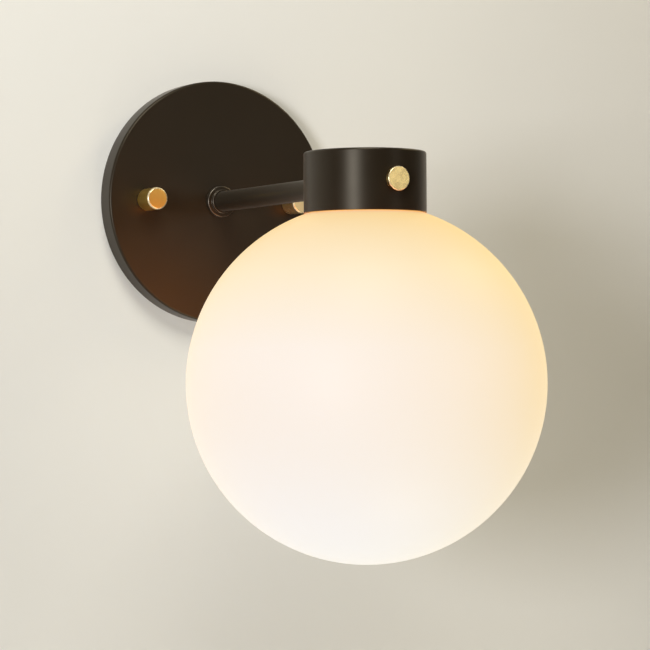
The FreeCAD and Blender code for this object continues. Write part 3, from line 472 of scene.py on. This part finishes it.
def make_opal():
    """Lit opal glass: the lamp's warm glow, and a cool body that makes white with it in daylight.

    The glow is deepest near the neck, where the glass sees less of the lamp. What the globe lights
    sees it dimmer than the eye does, and what mirrors it sees it stronger and warmer.
    """
    finish = Finish("lit_opal_glass", (0.05, 0.23, 0.58), 0.5, Specular_IOR_Level=0.2, IOR=1.5)
    finish.shader.inputs["Emission Strength"].default_value = 1.0
    tree = finish.tree
    where = add(tree, "ShaderNodeTexCoord")
    split = add(tree, "ShaderNodeSeparateXYZ")
    fall = add(tree, "ShaderNodeMapRange")
    fall.inputs["From Min"].default_value = GLASS_TOP
    fall.inputs["From Max"].default_value = GLASS_BOTTOM
    finish.join(where.outputs["Object"], split.inputs["Vector"])
    finish.join(split.outputs["Z"], fall.inputs["Value"])

    def down_the_globe(*stops):
        ramp = add(tree, "ShaderNodeValToRGB")
        while len(ramp.color_ramp.elements) < len(stops):
            ramp.color_ramp.elements.new(0.5)
        for element, (position, color) in zip(ramp.color_ramp.elements, stops):
            element.position = position
            element.color = (*color, 1.0)
        finish.join(fall.outputs["Result"], ramp.inputs["Fac"])
        return ramp.outputs["Color"]

    glow = down_the_globe(
        (0.0, (0.80, 0.30, 0.05)), (0.101, (0.86, 0.42, 0.09)), (0.110, (0.90, 0.53, 0.09)),
        (0.25, (0.94, 0.63, 0.19)), (0.50, (0.95, 0.69, 0.33)), (1.0, (0.89, 0.75, 0.53)))
    # The body is darker and less blue near the neck: painted shade under the cap.
    body = down_the_globe(
        (0.0, (0.05, 0.17, 0.28)), (0.12, (0.05, 0.17, 0.31)), (0.45, (0.04, 0.23, 0.57)),
        (1.0, (0.04, 0.20, 0.55)))
    finish.join(body, finish.shader.inputs["Base Color"])
    path = add(tree, "ShaderNodeLightPath")
    cast = add(tree, "ShaderNodeVectorMath", operation="MULTIPLY")
    cast.inputs[1].default_value = (0.5, 0.5, 0.5)
    finish.join(glow, cast.inputs[0])
    lighting = add(tree, "ShaderNodeMix", data_type="RGBA")
    finish.join(path.outputs["Is Diffuse Ray"], lighting.inputs["Factor"])
    finish.join(glow, lighting.inputs["A"])
    finish.join(cast.outputs["Vector"], lighting.inputs["B"])
    mirrored = add(tree, "ShaderNodeMix", data_type="RGBA")
    finish.join(path.outputs["Is Glossy Ray"], mirrored.inputs["Factor"])
    finish.join(lighting.outputs["Result"], mirrored.inputs["A"])
    mirrored.inputs["B"].default_value = (2.8, 1.05, 0.32, 1.0)
    finish.join(mirrored.outputs["Result"], finish.shader.inputs["Emission Color"])
    finish.material.cycles.emission_sampling = "NONE"
    finish.roughness_from(0.46, 0.54, 15.0)
    finish.grainy(400.0, 0.02, 0.05)
    return finish.material


def make_metal(name, color, other, low, high, metallic=1.0):
    finish = Finish(name, color, (low + high) / 2, metallic=metallic)
    finish.color_between(other, 120.0)
    finish.roughness_from(low, high, 160.0)
    return finish.grainy(3000.0, 0.008, 0.2).material


def make_plastic(name, color, other, roughness, **settings):
    finish = Finish(name, color, roughness, **settings)
    finish.color_between(other, 90.0)
    finish.roughness_from(roughness - 0.05, roughness + 0.05, 120.0)
    return finish.grainy(2500.0, 0.01, 0.25).material


def make_clear_glass(name, tint, roughness):
    finish = Finish(name, tint, roughness, Transmission_Weight=1.0, IOR=1.47)
    finish.grainy(60.0, 0.05, 0.05)
    return finish.material


def make_glow(name, color, strength):
    finish = Finish(name, color, 0.5, Emission_Color=(*color, 1.0), Emission_Strength=strength)
    return finish.grainy(4000.0, 0.02, 0.3).material


BRONZE = make_bronze()
# The two knobs are one brass in two lit copies, which is painted light: warmer and deeper on the
# left knob, paler on the right.
BRASS_LIT_WARMER_LEFT = make_turned_brass("brass_painted_warmer_light_left", place(-KNOB_ACROSS, 0, 0),
                               (1.0, 0.66, 0.16), (0.94, 0.62, 0.15), 0.92, 0.32)
BRASS_LIT_PALER_RIGHT = make_turned_brass("brass_painted_paler_light_right", place(KNOB_ACROSS, 0, 0),
                                (0.97, 0.74, 0.38), (0.92, 0.70, 0.35), 0.85, 0.28)
SCREW_BRASS = make_turned_brass("turned_brass_screw", place(0, 0, 0),
                                (0.86, 0.66, 0.28), (0.82, 0.61, 0.26), 1.0, 0.26)
# Lighter, shinier bronze for the edge bevels: painted highlight.
BRONZE_PAINTED_HIGHLIGHT = make_metal("bronze_edge_painted_highlight", (0.17, 0.145, 0.12), (0.13, 0.11, 0.09), 0.26, 0.34,
                         metallic=0.6)
# Pale, shinier brass for the edge bevels: painted highlight.
BRASS_PAINTED_HIGHLIGHT = make_metal("brass_edge_painted_highlight", (1.0, 0.84, 0.56), (0.95, 0.78, 0.48), 0.22, 0.30,
                        metallic=0.45)
OPAL = make_opal()
ZINC = make_metal("zinc_plated_steel", (0.60, 0.60, 0.57), (0.52, 0.52, 0.49), 0.30, 0.42)
NICKEL = make_metal("nickel_plate", (0.70, 0.68, 0.62), (0.64, 0.62, 0.56), 0.18, 0.26)
BARE_BRASS = make_metal("bare_brass", (0.72, 0.52, 0.24), (0.66, 0.45, 0.19), 0.30, 0.40)
SOLDER = make_metal("solder", (0.62, 0.62, 0.62), (0.50, 0.50, 0.50), 0.35, 0.50)
GREEN = make_plastic("green_coated_steel", (0.03, 0.22, 0.07), (0.02, 0.17, 0.05), 0.35)
NYLON = make_plastic("nylon", (0.78, 0.77, 0.70), (0.72, 0.71, 0.63), 0.45)
SILICONE = make_plastic("silicone", (0.72, 0.72, 0.70), (0.66, 0.66, 0.64), 0.55)
MOULDED = make_plastic("moulded_white", (0.80, 0.80, 0.77), (0.75, 0.75, 0.71), 0.42)
CERAMIC = make_plastic("glazed_ceramic", (0.82, 0.80, 0.75), (0.78, 0.75, 0.69), 0.20,
                       Coat_Weight=0.6, Coat_Roughness=0.08)
BLACK_GLASS = make_plastic("black_glass", (0.012, 0.012, 0.014), (0.02, 0.02, 0.022), 0.12)
BLACK_WIRE = make_plastic("black_insulation", (0.014, 0.014, 0.014), (0.022, 0.022, 0.022), 0.4)
WHITE_WIRE = make_plastic("white_insulation", (0.78, 0.77, 0.73), (0.72, 0.71, 0.66), 0.4)
GREEN_WIRE = make_plastic("green_insulation", (0.03, 0.24, 0.07), (0.02, 0.18, 0.05), 0.4)
LAMP_GLASS = make_clear_glass("lamp_glass", (0.98, 0.97, 0.94), 0.02)
STEM_GLASS = make_clear_glass("stem_glass", (0.95, 0.97, 0.95), 0.05)
FILAMENT = make_glow("filament", (1.0, 0.62, 0.26), 4.0)


# Wall side

def make_backplate():
    outline = [(5.15, PLATE_OUT, 0.2), (PLATE_RADIUS, PLATE_OUT, 1.5), (PLATE_RADIUS, 0, 0.15),
               (65.5, 0, 0.15), (65.5, 10.3, 0.4), (5.15, 10.3, 0.2)]
    pan = out_from_wall(turned(outline, 192))
    holes = [out_from_wall(rod(2.4, 9, 13), side * KNOB_ACROSS) for side in (-1, 1)]
    piece("pan", carved(pan, holes), "fixture", "dark_bronze", BRONZE, "backplate")


def make_knobs():
    outline = [(0, 13.3), (5.35, 13.3, 0.2), (6.0, 12.65, 0.2), (6.0, 0, 0.15), (4.2, 0, 0.1),
               (4.2, 0.5, 0.05), (2.1, 0.5, 0.15), (2.1, 10.5, 0.3), (0, 10.5)]
    washer = [(2.25, 0, 0.1), (4.1, 0, 0.15), (4.1, 0.8, 0.15), (2.25, 0.8, 0.1)]
    # Each knob takes its own lit copy of the brass: painted light.
    for side, name, brass in ((-1, "left", BRASS_LIT_WARMER_LEFT), (1, "right", BRASS_LIT_PALER_RIGHT)):
        across = side * KNOB_ACROSS
        knob = piece(f"cap_nut_{name}", out_from_wall(turned(outline, 96), across, KNOB_OUT),
                     f"{name}_knob", "brass", brass, f"knob_{name}")
        # A painted highlight on the knob's edge bevels.
        highlight_painted_edge(knob, BRASS_PAINTED_HIGHLIGHT)
        piece(f"washer_{name}", out_from_wall(turned(washer, 64), across, PLATE_OUT),
              f"{name}_knob_carrier", "nylon", NYLON, f"knob_washer_{name}")


def slotted_end(radius, depth, width, level):
    """A cutter for a straight screwdriver slot whose floor is depth below level."""
    return stand(block(2.4 * radius, width, 2 * depth), Vector((0, 0, level * MM)))


def make_crossbar():
    bar = stand(block(108, BAR_THICKNESS, 22), place(0, BAR_THICKNESS / 2, 0))
    bevel(bar, edges_through(bar), 6, 8)
    lug = stand(block(12, BAR_THICKNESS, 24.5), place(0, BAR_THICKNESS / 2, 16.25))
    tops = [edge for edge in edges_through(lug) if edge.verts[0].co.z > 20 * MM]
    bevel(lug, tops, 2.5, 5)
    whole = carved(bar, [lug], "UNION")
    cutters = [
        out_from_wall(rod(6.5, -1, 3, 64)),
        out_from_wall(rod(2.05, -1, 3), *EARTH_SCREW),
        out_from_wall(rod(1.5, -1, 3), 0, 0, TERMINALS_UP),
    ]
    for side in (-1, 1):
        slot = block(10, 6, 4.8)
        bevel(slot, edges_through(slot), 2.39, 10)
        cutters.append(stand(slot, place(side * BOX_SCREW_ACROSS, 1, 0)))
        cutters.append(out_from_wall(rod(2.1, -1, 3), side * KNOB_ACROSS))
    shape = carved(whole, cutters)
    break_edges(shape, 0.15)
    piece("crossbar", shape, "fixture", "steel", ZINC, "mounting_crossbar")


def nut(name, flats, bore, start, height, across, node):
    """A hexagon nut, its corners turned off at both faces."""
    end = start + height
    corner = flats / math.sqrt(3)
    drop = (corner - flats / 2) * 0.9
    barrel = turned([(0, start - 0.01), (flats / 2 + 0.1, start - 0.01),
                     (corner + 0.4, start + drop), (corner + 0.4, end - drop),
                     (flats / 2 + 0.1, end + 0.01), (0, end + 0.01)], 96)
    shape = carved(hexagon(flats, start, end), [barrel], "INTERSECT")
    hole = turned([(0, start - 1), (bore + 1.45, start - 1), (bore, start + 0.45),
                   (bore, end - 0.45), (bore + 1.45, end + 1), (0, end + 1)], 64)
    shape = carved(shape, [hole])
    piece(name, out_from_wall(shape, across), "fixture", "steel", ZINC, node)


def make_studs():
    for side, name in ((-1, "left"), (1, "right")):
        across = side * KNOB_ACROSS
        shape = threaded_rod(1.72, 2.05, STUD_PITCH, 0.05, 20.8)
        bevelled = turned([(0, 0.05), (1.8, 0.05), (2.4, 0.65), (2.4, 20.1), (1.7, 20.8),
                           (0, 20.8)], 64)
        shape = carved(shape, [bevelled], "INTERSECT")
        piece(f"thread_{name}", out_from_wall(shape, across), "fixture", "steel", ZINC,
              f"stud_{name}")
        nut(f"lock_nut_{name}", 8.7, 2.1, 1.8, 3.2, across, f"stud_nut_{name}")


def screw(head, shank):
    """Head and shank are (radius, start, end); the head's far end is slotted."""
    crown = [(0, head[1]), (head[0], head[1], 0.15), (head[0], head[2], 0.35), (0, head[2])]
    top = carved(turned(crown, 64), [slotted_end(head[0], 0.9, head[0] * 0.32, head[2])])
    stem = threaded_rod(shank[0] * 0.84, shank[0], shank[0] * 0.38, shank[1], shank[2], 20)
    return together([top, stem])


def make_grounding():
    shape = screw((4.0, 3.95, 6.35), (2.0, 0.05, 3.95))
    piece("earth_screw", out_from_wall(shape, *EARTH_SCREW), "fixture", "green_screw", GREEN,
          "ground_screw")


def make_terminals():
    body = stand(block(20, 8, 14, 0.5), place(0, 5.8, TERMINALS_UP))
    groove = stand(block(1.6, 2.4, 15, 0.2), place(0, 10.2, TERMINALS_UP))
    cutters = [out_from_wall(rod(2.7, 7.6, 11), 0, 0, TERMINALS_UP),
               out_from_wall(rod(1.65, 1, 9), 0, 0, TERMINALS_UP)]
    clamps = []
    for side in (-1, 1):
        across = side * 4.5
        cutters.append(stand(rod(1.95, 14, 29), place(across, 4.4, 0)))
        cutters.append(stand(block(0.7, 1.2, 15), place(across + side * 2.6, 9.8, TERMINALS_UP)))
        for up in (18.0, 25.0):
            cutters.append(out_from_wall(rod(1.45, 4.4, 11), across, 0, up))
            clamp = carved(rod(1.25, 5.4, 8.8, 40, 0.15), [slotted_end(1.25, 0.7, 0.5, 8.8)])
            clamps.append(out_from_wall(clamp, across, 0, up))
    piece("terminals", carved(body, [groove] + cutters), "fixture", "terminal_plastic", MOULDED,
          "terminal_block")
    piece("clamp_screws", together(clamps), "fixture", "steel", ZINC, "terminal_screws")
    shape = screw((2.5, 7.6, 9.6), (1.45, 0.2, 7.6))
    piece("block_screw", out_from_wall(shape, 0, 0, TERMINALS_UP), "fixture", "steel", ZINC,
          "terminal_block_screw")


# Arm

def make_arm():
    """The tube, whose front shoulder follows the round wall of the cap."""
    front = ARM_OUT - CAP_RADIUS
    shape = turned([(3.5, 6.5, 0.3), (4.95, 6.5, 0.4), (4.95, PLATE_OUT), (ARM_RADIUS, PLATE_OUT),
                    (ARM_RADIUS, front), (4.95, front), (4.95, 147.2, 0.4), (3.5, 147.2, 0.3)],
                   128)
    out_from_wall(shape)
    for corner in shape.verts:
        if abs(corner.co.y + front * MM) < 1e-6:
            across = corner.co.x / MM
            reach = ARM_OUT - math.sqrt((CAP_RADIUS + 0.02) ** 2 - across ** 2)
            corner.co.y = -reach * MM
    piece("arm", shape, "fixture", "dark_bronze", BRONZE, "arm_tube")
    ring = turned([(5.55, 0, 0.1), (8.6, 0, 0.12), (8.6, 2.6, 0.6), (6.5, 2.6, 0.15),
                   (6.5, 4.2, 0.4), (5.55, 4.2, 0.15)], 128)
    collar = piece("collar", out_from_wall(ring, 0, PLATE_OUT), "fixture", "dark_bronze", BRONZE,
                   "arm_collar")
    # A painted highlight on the collar's edge bevels.
    highlight_painted_edge(collar, BRONZE_PAINTED_HIGHLIGHT)
    nut("arm_nut_behind", 13.0, 5.0, 7.0, 2.5, 0, "arm_back_nut")
    nut("arm_nut_ahead", 13.0, 5.0, 144.95, 2.0, 0, "arm_front_nut")


# Cap and what is in it

def make_cap():
    shape = under_cap(turned([(0, 13.25), (CAP_BORE, 13.25, 0.3), (CAP_BORE, -14.25),
                              (30.15, -CAP_HALF, 0.1), (CAP_RADIUS, -CAP_HALF, 0.25),
                              (CAP_RADIUS, CAP_HALF, 1.2), (0, CAP_HALF)], 256))
    cutters = [out_from_wall(rod(5.15, 139, 145, 64)), out_from_wall(rod(4.05, 199, 205, 64))]
    piece("cup", carved(shape, cutters), "fixture", "dark_bronze", BRONZE, "cap")


def make_bracket():
    """The bent strap over the lamp holder, and the screw hung head down from it."""
    shape = bmesh.new()
    corners = [(-14, SOCKET_TOP), (27.08, SOCKET_TOP, 1.0), (27.08, -8), (28.25, -8),
               (28.25, STRAP_TOP, 2.2), (-14, STRAP_TOP)]
    wire(shape, corners, closed=True)
    bmesh.ops.edgeloop_fill(shape, edges=shape.edges[:])
    bmesh.ops.rotate(shape, verts=shape.verts[:], matrix=Matrix.Rotation(math.pi / 2, 3, "Z"))
    bmesh.ops.translate(shape, verts=shape.verts[:], vec=(-7 * MM, 0, 0))
    side = bmesh.ops.extrude_face_region(shape, geom=shape.faces[:])
    moved = [item for item in side["geom"] if isinstance(item, bmesh.types.BMVert)]
    bmesh.ops.translate(shape, verts=moved, vec=(14 * MM, 0, 0))
    bmesh.ops.recalc_face_normals(shape, faces=shape.faces[:])
    under_cap(shape)
    cutters = [out_from_wall(rod(5.15, 140, 150, 64)),
               under_cap(rod(1.55, 5, 15), *STRAP_SCREW)]
    cutters += [under_cap(rod(1.3, 5, 15), 0, ahead)
                for ahead in (-HOLDER_SCREW_AHEAD, HOLDER_SCREW_AHEAD)]
    strap = carved(shape, cutters)
    break_edges(strap, 0.12)
    piece("strap", strap, "fixture", "steel", ZINC, "socket_bracket")
    shape = screw((3.2, -9.75, -7.75), (1.5, -STRAP_TOP, -9.75))
    bmesh.ops.rotate(shape, verts=shape.verts[:], matrix=Matrix.Rotation(math.pi, 3, "X"))
    piece("strap_screw", under_cap(shape, *STRAP_SCREW), "fixture", "green_screw", GREEN,
          "bracket_ground_screw")


def make_socket():
    holder = under_cap(turned([(0, 3.75), (6.45, 3.75, 0.3), (6.45, SOCKET_FLOOR, 0.5),
                               (12.5, SOCKET_FLOOR, 1.0), (12.5, SOCKET_TOP, 0.6),
                               (0, SOCKET_TOP)], 128))
    cutters = []
    for ahead in (-HOLDER_SCREW_AHEAD, HOLDER_SCREW_AHEAD):
        cutters.append(under_cap(rod(2.25, -20, -15.25, 48), 0, ahead))
        cutters.append(under_cap(rod(1.3, -19, 13, 48), 0, ahead))
    for across in (-2.4, 0.0):
        cutters.append(out_from_wall(rod(1.05, 158, 160.5, 40), across, 0, 5.95))
    piece("lamp_holder", carved(holder, cutters), "fixture", "ceramic", CERAMIC, "socket_body")
    screws = []
    for ahead in (-HOLDER_SCREW_AHEAD, HOLDER_SCREW_AHEAD):
        shape = together([
            carved(turned([(0, -17.25), (2.15, -17.25, 0.35), (2.15, -15.25, 0.1), (0, -15.25)],
                          64), [slotted_end(2.15, 0.8, 0.6, -17.25)]),
            threaded_rod(1.05, 1.25, 0.7, -15.25, 12.9, 16)])
        screws.append(under_cap(shape, 0, ahead))
    piece("holder_screws", together(screws), "fixture", "steel", ZINC, "socket_screws")


def rolled(inner, outer, pitch, start, end, sheet):
    """A tube of thin sheet with a round thread rolled into it; its wall goes inwards."""
    middle, swing = (inner + outer) / 2, (outer - inner) / 2
    profile = [(middle - swing * math.cos(2 * math.pi * step / 8), pitch * step / 8)
               for step in range(9)]
    shape = thread(profile, pitch, start, end, 64)
    bmesh.ops.recalc_face_normals(shape, faces=shape.faces[:])
    bmesh.ops.solidify(shape, geom=shape.faces[:], thickness=sheet * MM)
    return shape


def make_holder_metal():
    shell = rolled(6.12, 6.38, LAMP_PITCH, -17.45, 0.55, 0.1)
    piece("holder_shell", under_cap(shell), "fixture", "nickel", NICKEL, "socket_shell")


# Lamp

def make_lamp():
    base = rolled(5.55, 5.95, LAMP_PITCH, -16.0, -1.1, 0.12)
    piece("lamp_base", under_cap(base), "lamp", "nickel", NICKEL, "bulb_base")
    shoulder = turned([(0, -1.05), (5.35, -1.05, 0.3), (2.0, 1.35, 0.4), (0, 1.35)], 64)
    piece("lamp_insulator", under_cap(shoulder), "lamp", "insulator", BLACK_GLASS,
          "bulb_insulator")
    tip = turned([(0, 1.35), (2.0, 1.35), (1.9, 2.0, 0.4), (1.2, 2.5, 0.4), (0, 2.55)], 48)
    piece("lamp_tip", under_cap(tip), "lamp_carrier", "solder", SOLDER, "bulb_contact")
    make_lamp_glass()
    stem = turned([(0, -13), (4.4, -13), (2.2, -17, 1.5), (1.5, -22, 1.5), (1.5, -33, 0.8),
                   (0, -34.1)], 48)
    piece("lamp_stem", under_cap(stem), "lamp", "stem", STEM_GLASS, "bulb_stem")
    sticks = []
    for number in range(4):
        angle = math.radians(45 + 90 * number)
        stick = rod(0.8, -68.1, -38.2, 24, 0.3)
        sticks.append(under_cap(stick, 4.5 * math.cos(angle), 4.5 * math.sin(angle)))
    piece("lamp_filament", together(sticks), "lamp", "filament", FILAMENT, "bulb_filament")


def make_lamp_glass():
    """A thin bulb: half an ellipse stretched from an arc, drawn up into a narrow neck."""
    shape = bmesh.new()
    bottom = shape.verts.new((0, 0, -17.5 * MM))
    bmesh.ops.spin(shape, geom=[bottom], cent=(0, 0, 0), axis=(0, -1, 0),
                   angle=math.radians(162), steps=48, use_merge=False, use_duplicate=False)
    bmesh.ops.scale(shape, verts=shape.verts[:], vec=(1, 1, 37 / 17.5))
    bmesh.ops.translate(shape, verts=shape.verts[:], vec=(0, 0, -53.15 * MM))
    top = max(shape.verts, key=lambda corner: corner.co.z)
    neck = shape.verts.new((5.2 * MM, 0, -12.2 * MM))
    shape.edges.new((top, neck))
    bevel(shape, [top], 2.5, 6, "VERTICES")
    spin(shape, 96)
    bmesh.ops.recalc_face_normals(shape, faces=shape.faces[:])
    bmesh.ops.solidify(shape, geom=shape.faces[:], thickness=0.8 * MM)
    piece("lamp_envelope", under_cap(shape), "lamp", "bulb_glass", LAMP_GLASS, "bulb_glass")


# Globe, its thumb screw and its pads

def make_globe():
    """One blown form: a ball drawn as an arc up to the straight neck, then given its wall."""
    shape = bmesh.new()
    bottom = shape.verts.new((0, 0, -GLOBE_RADIUS * MM))
    rise = math.pi - math.asin(NECK_RADIUS / GLOBE_RADIUS)
    bmesh.ops.spin(shape, geom=[bottom], cent=(0, 0, 0), axis=(0, -1, 0), angle=rise, steps=150,
                   use_merge=False, use_duplicate=False)
    bmesh.ops.translate(shape, verts=shape.verts[:], vec=(0, 0, GLOBE_UP * MM))
    shoulder = max(shape.verts, key=lambda corner: corner.co.z)
    foot = shape.verts.new((NECK_RADIUS * MM, 0, -8 * MM))
    rim = shape.verts.new((NECK_RADIUS * MM, 0, NECK_TOP * MM))
    shape.edges.new((shoulder, foot))
    shape.edges.new((foot, rim))
    bevel(shape, [shoulder], 1.4, 6, "VERTICES")
    spin(shape, 256)
    bmesh.ops.recalc_face_normals(shape, faces=shape.faces[:])
    bmesh.ops.solidify(shape, geom=shape.faces[:], thickness=GLOBE_WALL * MM)
    break_edges(shape, 0.7, 4)
    piece("opal_globe", under_cap(shape), "globe_shade", "opal_glass", OPAL, "globe",
          "globe_bottom", "globe_shoulder", "globe_neck")


def make_thumb_screw():
    outline = [(0, 33.55), (5.70, 33.55, 0.12), (6.0, 33.25, 0.12), (6.0, 30.9, 0.15),
               (1.95, 30.9, 0.15), (1.95, 24.9, 0.15), (1.0, 24.9), (1.0, 26.8), (0, 26.8)]
    head = piece("clamp_screw", out_from_wall(turned(outline, 96), 0, ARM_OUT),
                 "thumb_screw_turner", "pale_brass", SCREW_BRASS, "thumb_screw")
    # A painted highlight on the screw head's edge bevels.
    highlight_painted_edge(head, BRASS_PAINTED_HIGHLIGHT)
    tip = [(0, 22.3), (1.8, 22.3, 0.4), (1.8, 24.85, 0.1), (0.95, 24.85), (0.95, 26.7, 0.1),
           (0, 26.7)]
    piece("clamp_tip", out_from_wall(turned(tip, 48), 0, ARM_OUT), "thumb_screw_carrier",
          "nylon", NYLON, "thumb_screw_tip")
    bush = [(2.0, 25.6, 0.2), (4.0, 25.6, 0.25), (4.0, 27.38, 0.1), (5.5, 27.38, 0.2),
            (5.5, 28.55, 0.1), (4.0, 28.55), (4.0, 30.4, 0.15), (2.0, 30.4, 0.2)]
    piece("clamp_bush", out_from_wall(turned(bush, 64), 0, ARM_OUT), "fixture", "brass",
          BARE_BRASS, "thumb_screw_bush")


def make_pads():
    outline = [(22.3, -6, 0.6), (29.1, -6, 0.3), (29.1, 6, 0.3), (22.3, 6, 0.6)]
    for angle, name in ((150, "left"), (30, "right")):
        shape = sector(outline, math.radians(20), 12)
        turn = Matrix.Rotation(math.radians(angle), 4, "Z")
        bmesh.ops.transform(shape, verts=shape.verts[:], matrix=turn)
        piece(f"pad_{name}", under_cap(shape), "fixture", "silicone", SILICONE,
              f"neck_pad_{name}")


def dress_kept_nodes():
    """Finishes for the CAD's own solids that are shown as they are."""
    finishes = {
        "arm_lock_washer": ZINC,
        "terminal_sleeves": BARE_BRASS,
        "socket_contact": BARE_BRASS,
        "lead_live": BLACK_WIRE,
        "lead_neutral": WHITE_WIRE,
        "lead_ground": GREEN_WIRE,
    }
    for name, finish in finishes.items():
        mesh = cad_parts[name].data
        mesh.materials.clear()
        mesh.materials.append(finish)


# Room

WALL_HOLE, WALL_REACH = 60.0, 4000.0
FLOOR_UP, FLOOR_REACH = -700.0, 14000.0


def make_wall():
    """The painted wall, with the round hole of the wall box behind the pan.

    It is seen from the room only, so that a view from behind shows the light's back.
    """
    shape = bmesh.new()
    bmesh.ops.create_circle(shape, cap_ends=False, segments=96, radius=WALL_HOLE * MM)
    rings = shape.edges[:]
    for reach in (WALL_HOLE * 2, WALL_REACH):
        grown = bmesh.ops.extrude_edge_only(shape, edges=rings)
        corners = [item for item in grown["geom"] if isinstance(item, bmesh.types.BMVert)]
        rings = [item for item in grown["geom"] if isinstance(item, bmesh.types.BMEdge)]
        for corner in corners:
            corner.co = corner.co.normalized() * reach * MM
    bmesh.ops.rotate(shape, verts=shape.verts[:], matrix=Matrix.Rotation(math.pi / 2, 3, "X"))
    bmesh.ops.bisect_plane(shape, geom=shape.verts[:] + shape.edges[:] + shape.faces[:],
                           plane_co=(0, 0, FLOOR_UP * MM), plane_no=UPWARD, clear_inner=True)
    bmesh.ops.recalc_face_normals(shape, faces=shape.faces[:])
    if sum(face.normal.y for face in shape.faces) > 0:
        bmesh.ops.reverse_faces(shape, faces=shape.faces[:])
    bmesh.ops.translate(shape, verts=shape.verts[:], vec=(0, 0.1 * MM, 0))
    wall = as_object(shape, "wall")
    wall.data.materials.append(make_wall_paint())


def make_wall_paint():
    finish = Finish("wall_paint", (0.86, 0.855, 0.835), 0.85, Specular_IOR_Level=0.2)
    finish.color_between((0.85, 0.843, 0.823), 9.0)
    finish.grainy(70.0, 0.6, 0.22)
    finish.grainy(420.0, 0.15, 0.28)
    return finish.clear_from_behind().material


def make_floor():
    """A pale floor, seen from above only, and lightened for the eye, as few lamps reach it."""
    shape = bmesh.new()
    bmesh.ops.create_grid(shape, x_segments=1, y_segments=1, size=FLOOR_REACH * MM)
    bmesh.ops.translate(shape, verts=shape.verts[:], vec=(0, 0, FLOOR_UP * MM))
    floor = as_object(shape, "floor")
    paint = Finish("floor_paint", (0.78, 0.76, 0.70), 0.8, Specular_IOR_Level=0.2)
    paint.color_between((0.76, 0.74, 0.68), 3.0)
    paint.shader.inputs["Emission Color"].default_value = (0.42, 0.41, 0.39, 1.0)
    seen = add(paint.tree, "ShaderNodeLightPath")
    paint.join(seen.outputs["Is Camera Ray"], paint.shader.inputs["Emission Strength"])
    floor.data.materials.append(paint.clear_from_behind().material)


# A lamp's name, place, target, size, power in watts, colour and spread in degrees
LAMPS = (
    ("window", (-3.20, -2.70, -0.04), (0, -0.1, -0.08), 1.10, 15.6, (0.95, 0.96, 0.98), 80.0),
    ("corner", (-0.15, -0.45, 0.45), (-0.06, 0, 0.0), 0.30, 1.46, (1.0, 0.96, 0.84), 140.0),
    ("card", (0.67, -1.40, 0.10), (0, 0, 0), 0.30, 0.50, (1.0, 0.99, 0.97), 180.0),
    ("high_fill", (0.75, -0.30, 0.65), (0.3, 0, 0), 0.30, 2.3, (1.0, 0.82, 0.48), 180.0),
    ("low_fill", (0.06, -0.35, -0.58), (0.06, 0, -0.1), 0.20, 0.70, (1.0, 0.88, 0.60), 180.0),
    ("behind_the_wall", (-0.5, 1.5, 0.55), (0, 0, 0), 0.80, 16.0, (1.0, 1.0, 1.0), 180.0),
)


def make_lamp_light(name, where, target, size, power, color, spread):
    light = bpy.data.lights.new(name, "AREA")
    light.spread = math.radians(spread)
    light.shape = "SQUARE"
    light.size = size
    light.energy = power
    light.color = color
    item = bpy.data.objects.new(name, light)
    item.location = where
    item.rotation_euler = (Vector(target) - Vector(where)).to_track_quat("-Z", "Y").to_euler()
    item.visible_camera = False
    scene.collection.objects.link(item)


def make_room_light():
    """The lamps, and a faint room light that isn't the plain background that the eye sees."""
    for lamp in LAMPS:
        make_lamp_light(*lamp)
    world = bpy.data.worlds.new("room")
    scene.world = world
    world.use_nodes = True
    tree = world.node_tree
    tree.nodes.clear()
    output = add(tree, "ShaderNodeOutputWorld")
    room = add(tree, "ShaderNodeBackground")
    room.inputs["Color"].default_value = (1.0, 0.97, 0.92, 1.0)
    room.inputs["Strength"].default_value = 0.01
    seen = add(tree, "ShaderNodeBackground")
    seen.inputs["Color"].default_value = (0.86, 0.85, 0.82, 1.0)
    seen.inputs["Strength"].default_value = 1.0
    path = add(tree, "ShaderNodeLightPath")
    mix = add(tree, "ShaderNodeMixShader")
    tree.links.new(path.outputs["Is Camera Ray"], mix.inputs["Fac"])
    tree.links.new(room.outputs["Background"], mix.inputs[1])
    tree.links.new(seen.outputs["Background"], mix.inputs[2])
    tree.links.new(mix.outputs["Shader"], output.inputs["Surface"])


CAMERA_PLACE = (-0.6586, -1.31454, -0.09444)
CAMERA_TURN = (29.07, 1.02, -0.40)  # yaw, pitch and roll in degrees
FOCAL_PIXELS, IMAGE_PIXELS = 2643.16, 650


def make_camera():
    """The photograph's view: where it was taken from, and how the camera was turned."""
    yaw, pitch, roll = (math.radians(angle) for angle in CAMERA_TURN)
    ahead = Vector((math.sin(yaw) * math.cos(pitch), math.cos(yaw) * math.cos(pitch),
                    math.sin(pitch)))
    level = Vector((math.cos(yaw), -math.sin(yaw), 0))
    upright = level.cross(ahead)
    right = math.cos(roll) * level + math.sin(roll) * upright
    above = -math.sin(roll) * level + math.cos(roll) * upright
    turn = Matrix((right, above, -ahead)).transposed()
    lens = bpy.data.cameras.new("camera")
    lens.sensor_width = 36.0
    lens.lens = FOCAL_PIXELS / IMAGE_PIXELS * lens.sensor_width
    lens.clip_start = 0.05
    camera = bpy.data.objects.new("camera", lens)
    camera.matrix_world = Matrix.Translation(CAMERA_PLACE) @ turn.to_4x4()
    scene.collection.objects.link(camera)
    scene.camera = camera


make_camera()
make_backplate()
make_knobs()
make_crossbar()
make_studs()
make_grounding()
make_terminals()
make_arm()
make_cap()
make_bracket()
make_socket()
make_holder_metal()
make_lamp()
make_globe()
make_thumb_screw()
make_pads()
dress_kept_nodes()
make_wall()
make_floor()
make_room_light()
